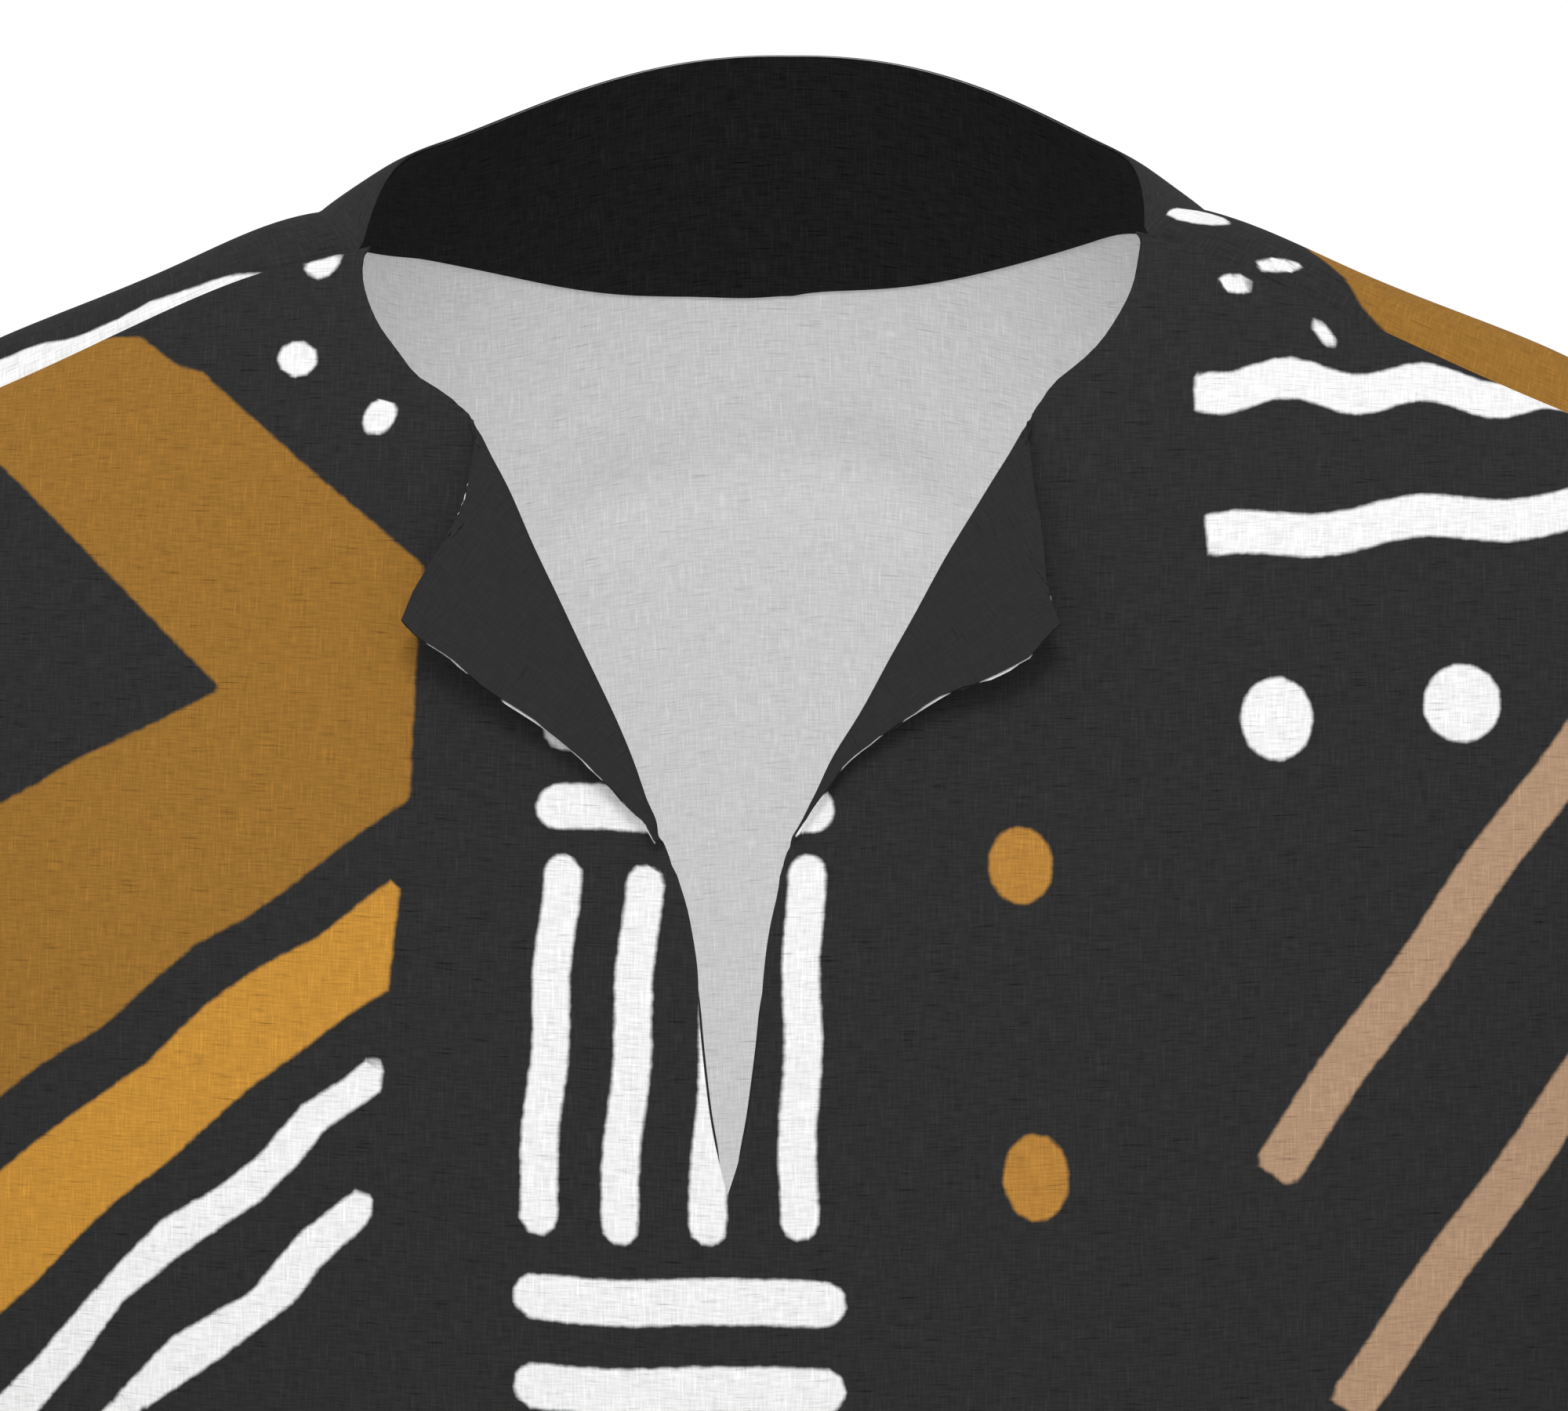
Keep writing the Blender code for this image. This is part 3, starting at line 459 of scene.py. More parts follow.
def lower_body(across: Array, down: Array, panel: Cloth) -> Array:
    """Either panel between the underarm level and the hem, for across >= 0.

    Args:
        across: Across values.
        down: Down values.
        panel: The front or the back.

    Returns:
        The points.
    """
    part = down - 1.0
    side, depth = quarter_section(across)
    widen = smooth_step(0.0, WIDEN_END, part)
    if panel is Cloth.FRONT:
        reach = -(CHEST_FRONT_DEPTH + (HEM_FRONT_DEPTH - CHEST_FRONT_DEPTH) * widen)
    else:
        reach = CHEST_BACK_DEPTH + (HEM_BACK_DEPTH - CHEST_BACK_DEPTH) * widen
    x = (CHEST_HALF_WIDTH + (HEM_HALF_WIDTH - CHEST_HALF_WIDTH) * widen) * side
    y = CHEST_MIDDLE_Y + reach * depth
    z = UNDERARM_Z + (HEM_Z - UNDERARM_Z) * part
    return np.stack([x, y, z], -1)


def fold_depth(across: Array, height: Array, panel: Cloth) -> Array:
    """How far the large folds push the cloth out at each point.

    Args:
        across: Across values.
        height: Heights.
        panel: The front or the back.

    Returns:
        Push in millimetres for each point.
    """
    push = np.zeros_like(across)
    for middle, top, bottom, depth, half_width, lean in FOLDS[panel]:
        fall = (top - height) / (top - bottom)
        line = middle + lean * (fall - 0.5)
        grow = smooth_step(0.0, FOLD_GROWN, fall)
        push += depth * grow * np.exp(-(((across - line) / half_width) ** 2))
    return push * (1.0 - np.abs(across) ** FOLD_FADE)


def body_point(across: Array, down: Array, panel: Cloth) -> Array:
    """Points on the middle of a panel's cloth.

    Args:
        across: Across values.
        down: Down values.
        panel: The front or the back.

    Returns:
        A point for each pair of values.
    """
    across, down = np.broadcast_arrays(np.asarray(across, float), np.asarray(down, float))
    away = np.abs(across)
    mirror = np.where(across < 0.0, -1.0, 1.0)
    upper = upper_front if panel is Cloth.FRONT else upper_back
    point = np.where(
        (down <= 1.0)[..., None],
        upper(away, np.clip(down, 0.0, 1.0)),
        lower_body(away, np.clip(down, 1.0, 2.0), panel),
    )
    outward = -1.0 if panel is Cloth.FRONT else 1.0
    turned = 1.0 - np.clip(away, 0.0, 1.0) ** SIDE_FADE
    point[..., 1] += outward * turned * fold_depth(across, point[..., 2], panel)
    point[..., 0] *= mirror
    away_x = np.abs(point[..., 0]) - NECK_HALF_WIDTH
    gap = np.hypot(np.hypot(away_x, point[..., 1] - NECK_POINT_Y), point[..., 2] - NECK_POINT_Z)
    point[..., 2] += NECK_POINT_SHIFT * mirror * np.exp(-((gap / NECK_POINT_SPREAD) ** 2))
    return point


def across_of(x: Array) -> Array:
    """The across value of a sideways distance on the chest.

    Args:
        x: Sideways distances.

    Returns:
        Across values.
    """
    even = np.linspace(0.0, 1.0, LOOK_UP)
    found = np.interp(np.abs(x) / CHEST_HALF_WIDTH, quarter_section(even)[0], even)
    return np.where(np.asarray(x) < 0.0, -found, found)


def down_of(height: Array) -> Array:
    """The down value of a height on the upper front's middle.

    Args:
        height: Heights.

    Returns:
        Down values.
    """
    even = np.linspace(0.0, 1.0, LOOK_UP)
    middle = upper_front(np.zeros_like(even), even)
    return np.interp(-np.asarray(height, float), -middle[:, 2], even)


class FlatCloth:
    """Flat cloth coordinates of one body panel."""

    def __init__(self, panel: Cloth, columns: int = 161, rows: int = 241) -> None:
        """Measures the panel.

        Args:
            panel: The front or the back.
            columns: Columns measured over the panel.
            rows: Rows measured down it.
        """
        self.last = np.array((rows - 1, columns - 1))
        down = np.linspace(0.0, 2.0, rows)[:, None]
        grid = body_point(np.linspace(-1.0, 1.0, columns)[None], down, panel)
        top = grid[0, :, 2] if panel is Cloth.FRONT else 0.0
        self.height = top - run_lengths(grid)

    def at(self, across: Array, down: Array) -> Array:
        """Flat coordinates of panel points.

        Args:
            across: Across values.
            down: Down values.

        Returns:
            Pairs of u and v, in millimetres.
        """
        across, down = np.broadcast_arrays(np.asarray(across, float), np.asarray(down, float))
        row = down / 2.0 * self.last[0]
        column = (across + 1.0) / 2.0 * self.last[1]
        r = np.clip(row.astype(int), 0, self.last[0] - 1)
        c = np.clip(column.astype(int), 0, self.last[1] - 1)
        fc, fr = column - c, row - r
        upper = self.height[r, c] * (1 - fc) + self.height[r, c + 1] * fc
        lower = self.height[r + 1, c] * (1 - fc) + self.height[r + 1, c + 1] * fc
        return np.stack([CHEST_QUARTER * across, upper * (1 - fr) + lower * fr], -1)


def crease_push(flat: Array, cloth: Cloth) -> Array:
    """How far the creases push the cloth out.

    Args:
        flat: Pairs of u and v.
        cloth: The kind of cloth.

    Returns:
        Push in millimetres for each pair.
    """
    push = np.zeros(flat.shape[:-1])
    for u0, v0, u1, v1, bow, depth, half_width in CREASES[cloth]:
        along = np.array([u1 - u0, v1 - v0])
        length = np.hypot(*along)
        along /= length
        rel = flat - (u0, v0)
        part = (rel @ along) / length
        aside = rel @ np.array([-along[1], along[0]]) - bow * 4.0 * part * (1.0 - part)
        aside += CREASE_WAVER * np.sin(part * WAVER_RATE + u0)
        taper = smooth_step(*CREASE_START, part) * (1.0 - smooth_step(*CREASE_END, part))
        uneven = 1.0 + CREASE_UNEVEN * np.sin(part * UNEVEN_RATE + v0)
        push += depth * uneven * taper * np.exp(-((aside / half_width) ** 2))
    return push


# ---------------------------------------------------------------- the print


class Ink(Enum):
    """Colours printed on the charcoal cloth."""

    WHITE = "white"
    BROWN = "brown"
    OCHRE = "ochre"
    AMBER = "amber"
    TAN = "tan"


# Distances for where no stroke is near, and for a stroke without an end
NO_STROKE = 50.0
ENDLESS = 1e5


@dataclass(frozen=True)
class Bar:
    """A painted stroke along a line, with round or square ends.

    Attributes:
        ink: Its colour.
        points: Points of its middle line.
        half_width: Half its width.
        wave: Height of its slow waves.
        wave_length: Length of one wave.
        square: True if its ends are cut square.
    """

    ink: Ink
    points: tuple[Pair, ...]
    half_width: float
    wave: float = 0.0
    wave_length: float = 30.0
    square: bool = False

    def distance(self, flat: Array) -> Array:
        """Signed distance of cloth points to the stroke, negative inside it.

        Args:
            flat: Pairs of u and v.

        Returns:
            A distance for each pair.
        """
        points = np.array(self.points, float)
        best = np.full(flat.shape[:-1], np.inf)
        run = 0.0
        last = len(points) - 2
        for k in range(len(points) - 1):
            along = points[k + 1] - points[k]
            length = np.hypot(*along)
            along = along / length
            rel = flat - points[k]
            s = rel @ along
            t = rel @ np.array([-along[1], along[0]])
            t = t + self.wave * np.sin((run + s) * 2.0 * np.pi / self.wave_length + points[0, 0])
            low = -ENDLESS if self.square and k == 0 else 0.0
            high = length + ENDLESS if self.square and k == last else length
            gap = np.hypot(s - np.clip(s, low, high), t) - self.half_width
            if self.square and k == 0:
                gap = np.maximum(gap, -s)
            if self.square and k == last:
                gap = np.maximum(gap, s - length)
            best = np.minimum(best, gap)
            run += length
        return best


@dataclass(frozen=True)
class Dot:
    """A painted oval dot.

    Attributes:
        ink: Its colour.
        middle: Its middle.
        reach: Its half width and half height.
        tilt: Turn of its height from upright, in degrees, towards +u.
    """

    ink: Ink
    middle: Pair
    reach: Pair
    tilt: float = 0.0

    def distance(self, flat: Array) -> Array:
        """Signed distance of cloth points to the dot, negative inside it.

        Args:
            flat: Pairs of u and v.

        Returns:
            A distance for each pair.
        """
        rel = flat - self.middle
        c, s = math.cos(math.radians(self.tilt)), math.sin(math.radians(self.tilt))
        a = rel[..., 0] * c - rel[..., 1] * s
        b = rel[..., 0] * s + rel[..., 1] * c
        k0 = np.hypot(a / self.reach[0], b / self.reach[1])
        k1 = np.hypot(a / self.reach[0] ** 2, b / self.reach[1] ** 2)
        return k0 * (k0 - 1.0) / np.maximum(k1, TINY)


@dataclass(frozen=True)
class Patch:
    """A painted area inside a closed line.

    Attributes:
        ink: Its colour.
        points: Corners of its outline.
    """

    ink: Ink
    points: tuple[Pair, ...]

    def distance(self, flat: Array) -> Array:
        """Signed distance of cloth points to the patch, negative inside it.

        Args:
            flat: Pairs of u and v.

        Returns:
            A distance for each pair.
        """
        points = np.array(self.points, float)
        best = np.full(flat.shape[:-1], np.inf)
        inside = np.zeros(flat.shape[:-1], bool)
        for a, b in zip(points, np.roll(points, -1, axis=0)):
            along = b - a
            rel = flat - a
            part = np.clip(rel @ along / (along @ along), 0.0, 1.0)
            best = np.minimum(best, ((rel - part[..., None] * along) ** 2).sum(-1))
            crosses = (a[1] > flat[..., 1]) != (b[1] > flat[..., 1])
            rise = along[1] if abs(along[1]) > TINY else TINY
            inside ^= crosses & (flat[..., 0] < a[0] + (flat[..., 1] - a[1]) / rise * along[0])
        return np.sqrt(best) * np.where(inside, -1.0, 1.0)


Stroke = Bar | Dot | Patch


def ribbon(ink: Ink, upper: tuple[Pair, ...], lower: tuple[Pair, ...]) -> Patch:
    """A patch between an upper and a lower line, both given from the same end."""
    return Patch(ink, upper + lower[::-1])


# The printed repeat: its chevron and the three bands that run along it, and then its small strokes.
CHEVRON = Patch(
    Ink.BROWN,
    (
        (-160.5, -41.3), (-150.8, -41.8), (-145.4, -46.0), (-139.7, -50.6), (-133.2, -52.0),
        (-128.5, -56.5), (-104.0, -77.0), (-74.4, -100.0), (-75.8, -117.0), (-76.5, -156.0),
        (-91.5, -167.0), (-105.0, -178.0), (-116.0, -186.0), (-129.0, -193.0), (-142.0, -204.0),
        (-153.0, -214.0), (-170.0, -224.0), (-200.0, -246.0), (-240.0, -275.0), (-300.0, -318.0),
        (-300.0, -222.0), (-172.0, -156.0), (-162.0, -150.0), (-143.0, -141.0), (-124.4, -131.5),
        (-175.0, -86.0), (-230.0, -38.0), (-262.0, -8.0), (-200.0, -8.0),
    ),
)
OCHRE_BAND = ribbon(
    Ink.OCHRE,
    (
        (-78.2, -176.0), (-79.6, -175.0), (-86.0, -180.0), (-98.0, -190.0), (-111.0, -197.0),
        (-121.5, -204.0), (-129.0, -210.0), (-141.0, -222.0), (-157.0, -233.0), (-170.0, -242.0),
        (-230.0, -288.0), (-300.0, -340.0),
    ),
    (
        (-80.8, -202.0), (-90.0, -208.0), (-100.0, -216.0), (-115.0, -227.0), (-125.0, -236.0),
        (-137.0, -247.0), (-147.0, -254.0), (-156.0, -262.0), (-170.0, -276.0), (-225.0, -320.0),
        (-300.0, -376.0),
    ),
)
WHITE_BAND_ONE = ribbon(
    Ink.WHITE,
    (
        (-81.6, -219.2), (-84.6, -217.6), (-90.0, -223.0), (-102.0, -231.0), (-112.0, -243.0),
        (-122.0, -251.0), (-137.0, -260.0), (-148.0, -271.0), (-160.0, -284.0), (-170.0, -295.0),
        (-215.0, -335.0),
    ),
    (
        (-82.2, -226.0), (-96.0, -236.0), (-101.0, -243.0), (-111.5, -253.5), (-131.0, -267.0),
        (-147.0, -280.0), (-159.0, -296.0), (-170.0, -308.0), (-215.0, -348.0),
    ),
)
WHITE_BAND_TWO = ribbon(
    Ink.WHITE,
    (
        (-83.9, -250.9), (-87.0, -249.4), (-101.5, -261.0), (-114.0, -276.0), (-134.0, -288.0),
        (-152.0, -307.0), (-176.0, -330.0),
    ),
    (
        (-84.4, -257.0), (-96.5, -268.5), (-103.0, -277.5), (-121.5, -292.0), (-140.0, -305.0),
        (-164.0, -328.0),
    ),
)
REPEAT: tuple[Stroke, ...] = (
    CHEVRON,
    OCHRE_BAND,
    WHITE_BAND_ONE,
    WHITE_BAND_TWO,
    Dot(Ink.WHITE, (-108.7, -48.8), (4.9, 4.7)),
    Dot(Ink.WHITE, (-87.2, -63.1), (3.6, 5.1), 28.0),
    Bar(Ink.WHITE, ((-39.7, -172.0), (-44.6, -254.0)), 4.3, 0.5, 40.0),
    Bar(Ink.WHITE, ((-20.4, -173.6), (-25.3, -255.3)), 4.3, 0.5, 44.0),
    Bar(Ink.WHITE, ((-1.2, -180.0), (-4.5, -254.5)), 4.3, 0.4, 44.0),
    Bar(Ink.WHITE, ((17.2, -170.8), (16.3, -253.5)), 4.3, 0.5, 42.0),
    Bar(Ink.WHITE, ((-44.6, -273.2), (22.2, -272.4)), 5.4, 0.6, 52.0),
    Bar(Ink.WHITE, ((-44.6, -294.6), (22.2, -293.2)), 5.4, 0.6, 52.0),
    Bar(Ink.WHITE, ((-40.6, -156.4), (18.4, -156.4)), 5.3, 0.5, 48.0),
    Bar(Ink.WHITE, ((-39.6, -138.2), (18.4, -138.2)), 5.0, 0.5, 48.0),
    Bar(Ink.WHITE, ((107.4, -54.3), (196.0, -54.0), (300.0, -58.0)), 5.2, 2.0, 34.0, True),
    Bar(Ink.WHITE, ((110.8, -92.8), (187.3, -86.6), (300.0, -79.5)), 5.2, 1.4, 46.0, True),
    Dot(Ink.WHITE, (128.0, -136.5), (8.6, 10.0), -8.0),
    Dot(Ink.WHITE, (173.0, -133.4), (9.3, 9.4)),
    Dot(Ink.WHITE, (218.0, -132.0), (9.0, 9.8)),
    Dot(Ink.AMBER, (67.2, -170.1), (7.5, 9.2), -6.0),
    Dot(Ink.AMBER, (71.5, -244.0), (7.6, 10.4), -4.0),
    Bar(Ink.TAN, ((127.3, -244.7), (187.3, -162.5), (262.0, -62.0)), 5.8, 0.5, 60.0, True),
    Bar(Ink.TAN, ((145.1, -301.7), (188.8, -243.4), (300.0, -96.0)), 5.8, 0.5, 60.0, True),
)
FRONT_YOKE = (
    Patch(
        Ink.WHITE,
        (
            (-108.9, -22.6), (-99.3, -20.0), (-100.0, -23.5), (-102.2, -26.3), (-104.4, -27.2),
            (-107.0, -26.2), (-108.6, -24.4),
        ),
    ),
    Dot(Ink.WHITE, (116.7, -27.3), (4.3, 2.6), 6.0),
    Dot(Ink.WHITE, (138.3, -40.0), (4.6, 1.7), 52.0),
)
BACK_YOKE = (
    Patch(
        Ink.WHITE,
        (
            (-270.0, -13.0), (-206.2, -8.7), (-199.3, -4.8), (-189.4, -4.1), (-184.1, -5.1),
            (-178.0, -3.5), (-172.7, -2.9), (-167.3, -1.8), (-163.0, -0.4), (-160.0, 2.0),
            (-270.0, 2.0),
        ),
    ),
    Dot(Ink.WHITE, (148.2, -13.0), (6.0, 4.4), 41.0),
    Dot(Ink.WHITE, (150.0, -28.5), (4.0, 4.0)),
    Dot(Ink.WHITE, (166.2, -5.6), (4.8, 1.9), 50.0),
    Patch(
        Ink.BROWN,
        (
            (193.0, 6.0), (187.5, 0.0), (183.3, -2.7), (177.2, -12.6), (167.8, -21.2),
            (165.5, -39.0), (205.0, -62.0), (300.0, -62.0), (300.0, 6.0),
        ),
    ),
)


def ink_distances(flat: Array, strokes: tuple[Stroke, ...]) -> Inks:
    """Smallest signed distance of cloth points to the strokes of each ink.

    Args:
        flat: Pairs of u and v.
        strokes: The strokes.

    Returns:
        The distances by ink.
    """
    found = {ink: np.full(flat.shape[:-1], NO_STROKE) for ink in Ink}
    for stroke in strokes:
        found[stroke.ink] = np.minimum(found[stroke.ink], stroke.distance(flat))
    return found


@dataclass(frozen=True)
class Repeat:
    """One copy of the printed repeat on a cloth.

    Attributes:
        shift: Where its own (0, 0) lies on the cloth.
        top: Own v above which it is cut.
        low: Own v below which it is cut.
        mirrored: True if its sideways direction is turned round.
    """

    shift: Pair
    top: float = ENDLESS
    low: float = -322.0
    mirrored: bool = False

    def distances(self, flat: Array) -> Inks:
        """Signed distance of cloth points to each ink.

        Args:
            flat: Pairs of u and v.

        Returns:
            The distances by ink.
        """
        own = flat - self.shift
        if self.mirrored:
            own = own * (-1.0, 1.0)
        window = np.maximum(own[..., 1] - self.top, self.low - own[..., 1])
        return {ink: np.maximum(gap, window) for ink, gap in ink_distances(own, REPEAT).items()}


@dataclass(frozen=True)
class PrintLayout:
    """The print on one cloth: copies of the repeat and strokes of its own."""

    repeats: tuple[Repeat, ...]
    strokes: tuple[Stroke, ...] = ()

    def distances(self, flat: Array) -> Inks:
        """Signed distance of cloth points to each ink.

        Args:
            flat: Pairs of u and v.

        Returns:
            The distances by ink.
        """
        found = ink_distances(flat, self.strokes)
        for repeat in self.repeats:
            other = repeat.distances(flat)
            found = {ink: np.minimum(found[ink], other[ink]) for ink in Ink}
        return found


# Height of the repeat, and its own v above which the lower copies on a panel are cut
REPEAT_HEIGHT = 298.0
LOWER_TOP = -36.0


def panel_repeats(u: float, v: float, top: float = ENDLESS, mirrored: bool = False) -> tuple[Repeat, ...]:
    """Copies of the repeat one under another, as many as a panel needs.

    Args:
        u: Sideways place of the first.
        v: Upward place of the first.
        top: Own v above which the first is cut.
        mirrored: True if their sideways direction is turned round.

    Returns:
        The copies.
    """
    tops = (top, LOWER_TOP, LOWER_TOP)
    places = [(u, v - REPEAT_HEIGHT * k) for k in range(len(tops))]
    return tuple(Repeat(place, cut, mirrored=mirrored) for place, cut in zip(places, tops))


FRONT_PRINT = PrintLayout(panel_repeats(0.0, 0.0), FRONT_YOKE)
BACK_PRINT = PrintLayout(panel_repeats(10.0, -2.0, -40.0, mirrored=True), BACK_YOKE)
SLEEVE_PRINT = PrintLayout((Repeat((140.0, 30.0), -40.0), Repeat((400.0, 60.0), -40.0)))

# The strokes that reach a corner's cut edge, by side: ink, start height, end height
EDGE_DASHES = {
    RIGHT: (
        (Ink.WHITE, -68.8, -72.4),
        (Ink.WHITE, -75.05, -75.15),
        (Ink.WHITE, -75.35, -75.75),
        (Ink.WHITE, -83.6, -96.4),
        (Ink.WHITE, -105.6, -136.5),
    ),
    LEFT: (
        (Ink.TAN, -71.9, -72.2),
        (Ink.WHITE, -75.4, -77.1),
        (Ink.WHITE, -88.9, -100.0),
        (Ink.WHITE, -108.2, -119.7),
        (Ink.WHITE, -125.9, -137.7),
    ),
}
# Signed distances inside and outside such a stroke
DASH_INSIDE, DASH_OUTSIDE = -0.45, 1.5

# ---------------------------------------------------------------- finishes


@dataclass(frozen=True)
class LinenLook:
    """Woven look shared by every cloth of the shirt.

    Attributes:
        thread: Distance between threads, in millimetres.
        thread_run: Length over which a thread stays alike.
        weft_depth: How much the threads across the cloth change the colour.
        warp_depth: How much the threads down the cloth change it.
        slub_width: Width of the uneven threads.
        slub_run: Length of their uneven stretches.
        slub_depth: How dark the thick uneven weft threads are.
        slub_range: The part of the noise that makes them.
        pale_depth: How pale the thin uneven warp threads are.
        pale_range: The part of the noise that makes them.
        bump: Height of the weave in the shading, in millimetres.
        bump_strength: Of the shading.
        roughness: Of the surface.
        specular: Of the surface.
    """

    thread: float = 0.42
    thread_run: float = 5.0
    weft_depth: float = 0.30
    warp_depth: float = 0.22
    slub_width: float = 0.5
    slub_run: float = 9.0
    slub_depth: float = 0.30
    slub_range: Pair = (0.64, 0.84)
    pale_depth: float = 0.14
    pale_range: Pair = (0.60, 0.80)
    bump: float = 0.10
    bump_strength: float = 0.6
    roughness: float = 0.92
    specular: float = 0.12


@dataclass(frozen=True)
class PrintLook:
    """How the edges of the inks look, in millimetres.

    Attributes:
        waver: Width of the strip in which an edge wavers.
        waver_length: Length over which it does.
        waver_detail: Detail of its wavering.
        soft: Half the width over which an ink fades.
    """

    waver: float = 0.8
    waver_length: float = 3.2
    waver_detail: float = 2.0
    soft: float = 0.65


@dataclass(frozen=True)
class Dye:
    """One colour of the cloth.

    Attributes:
        color: Linear colour.
        contrast: How strongly the threads show in it.
    """

    color: Place
    contrast: float


@dataclass(frozen=True)
class Palette:
    """The dyes of the shirt, and a darkened charcoal that paints the shade inside the back of the neck on
    the neck facing.
    """

    charcoal: Dye = Dye((0.0275, 0.0275, 0.0275), 2.3)
    facing: Dye = Dye((0.0275, 0.0275, 0.0275), 1.1)
    # Painted shade: the neck facing is the same charcoal linen as the slit facings. This much darker
    # colour, with a stronger weave to match, stands in for the shade inside the back of the neck.
    neck_facing: Dye = Dye((0.0090, 0.0090, 0.0090), 4.6)
    inside: Dye = Dye((0.58, 0.58, 0.58), 0.95)
    white: Dye = Dye((0.93, 0.93, 0.93), 1.2)
    brown: Dye = Dye((0.330, 0.158, 0.0280), 1.55)
    ochre: Dye = Dye((0.575, 0.274, 0.041), 1.4)
    amber: Dye = Dye((0.480, 0.228, 0.0445), 1.4)
    tan: Dye = Dye((0.460, 0.297, 0.185), 1.35)


Socket = bpy.types.NodeSocket
Value = Socket | float | tuple


class NodeBook:
    """A material's nodes, with short calls for the ones used here."""

    # The colour result of a mix node, after its number and its vector
    mix_color = 2
    # How much further a seed shifts a noise along v than along u
    seed_slant = 1.7

    def __init__(self, name: str) -> None:
        """Starts a material.

        Args:
            name: Name of the material.
        """
        self.material = bpy.data.materials.new(name)
        self.material.use_nodes = True
        self.tree = self.material.node_tree
        uv = self.add("UVMap", {}, "UV", uv_map=UV_NAME)
        self.cloth = self.scale(uv, 1.0 / MM)

    def add(self, kind: str, inputs: dict[str | int, Value], output: str | int, **settings) -> Socket:
        """A new node.

        Args:
            kind: Its type, without the "ShaderNode" that each begins with.
            inputs: What its inputs hold or are linked to, by their names or numbers.
            output: The output that is used.
            **settings: Its properties.

        Returns:
            That output.
        """
        node = self.tree.nodes.new("ShaderNode" + kind)
        for name, value in settings.items():
            setattr(node, name, value)
        self.fill(node, inputs)
        return node.outputs[output]

    def fill(self, node: bpy.types.Node, inputs: dict[str | int, Value]) -> None:
        """Links or sets some inputs of a node.

        Args:
            node: The node.
            inputs: Values or outputs by the inputs' names or numbers.
        """
        for name, value in inputs.items():
            if isinstance(value, Socket):
                self.tree.links.new(value, node.inputs[name])
            else:
                node.inputs[name].default_value = value

    def math(self, operation: str, *values: Value) -> Socket:
        """The result of a sum."""
        return self.add("Math", dict(enumerate(values)), 0, operation=operation)

    def scale(self, vector: Value, factor: Value) -> Socket:
        """A vector or a colour times a number."""
        return self.add("VectorMath", {0: vector, "Scale": factor}, "Vector", operation="SCALE")

    def between(self, mask: Value, first: Value, second: Value) -> Socket:
        """The number first where mask is 0, second where it is 1."""
        return self.add("Mix", {"Factor": mask, "A": first, "B": second}, 0, data_type="FLOAT")

    def mix(self, mask: Value, first: Value, second: Value) -> Socket:
        """The colour first where mask is 0, second where it is 1."""
        inputs = {"Factor": mask, "A": first, "B": second}
        return self.add("Mix", inputs, self.mix_color, data_type="RGBA")

    def ramp(self, value: Value, low: float, high: float) -> Socket:
        """0 below low, 1 above high, and even between them."""
        return self.add("MapRange", {"Value": value, "From Min": low, "From Max": high}, "Result")

    def inked(self, gap: Value, soft: float) -> Socket:
        """1 inside an ink and 0 outside it, with a soft change at its edge."""
        inputs = {"Value": gap, "From Min": -soft, "From Max": soft, "To Min": 1.0, "To Max": 0.0}
        return self.add("MapRange", inputs, "Result", interpolation_type="SMOOTHSTEP")

    def noise(self, run: Pair, detail: float = 1.0, seed: float = 0.0) -> Socket:
        """Soft noise over the cloth.

        Args:
            run: Millimetres over which it changes along u and along v.
            detail: Its detail.
            seed: Shift that makes one noise unlike another.

        Returns:
            The noise, about 0 to 1.
        """
        scale = (1.0 / run[0], 1.0 / run[1], 1.0)
        shift = (seed, seed * self.seed_slant, 0.0)
        inputs = {"Vector": self.cloth, "Scale": scale, "Location": shift}
        place = self.add("Mapping", inputs, "Vector")
        inputs = {"Vector": place, "Scale": 1.0, "Detail": detail}
        return self.add("TexNoise", inputs, "Fac", noise_dimensions="2D")

    def attribute(self, name: str) -> Socket:
        """A number kept at each point of the mesh."""
        return self.add("Attribute", {}, "Fac", attribute_name=name)

    def color(self, value: Place) -> Socket:
        """A constant colour.

        Args:
            value: Red, green and blue.

        Returns:
            The node's output.
        """
        node = self.tree.nodes.new("ShaderNodeRGB")
        node.outputs[0].default_value = (*value, 1.0)
        return node.outputs[0]

    def shade(self, color: Value, height: Value, look: LinenLook) -> None:
        """Sets up the shader.

        Args:
            color: Colour of the surface.
            height: Height of the weave.
            look: The weave's other values.
        """
        inputs = {"Strength": look.bump_strength, "Distance": look.bump * MM, "Height": height}
        surface = {
            "Normal": self.add("Bump", inputs, "Normal"),
            "Base Color": color,
            "Roughness": look.roughness,
            "Specular IOR Level": look.specular,
        }
        self.fill(self.tree.nodes["Principled BSDF"], surface)


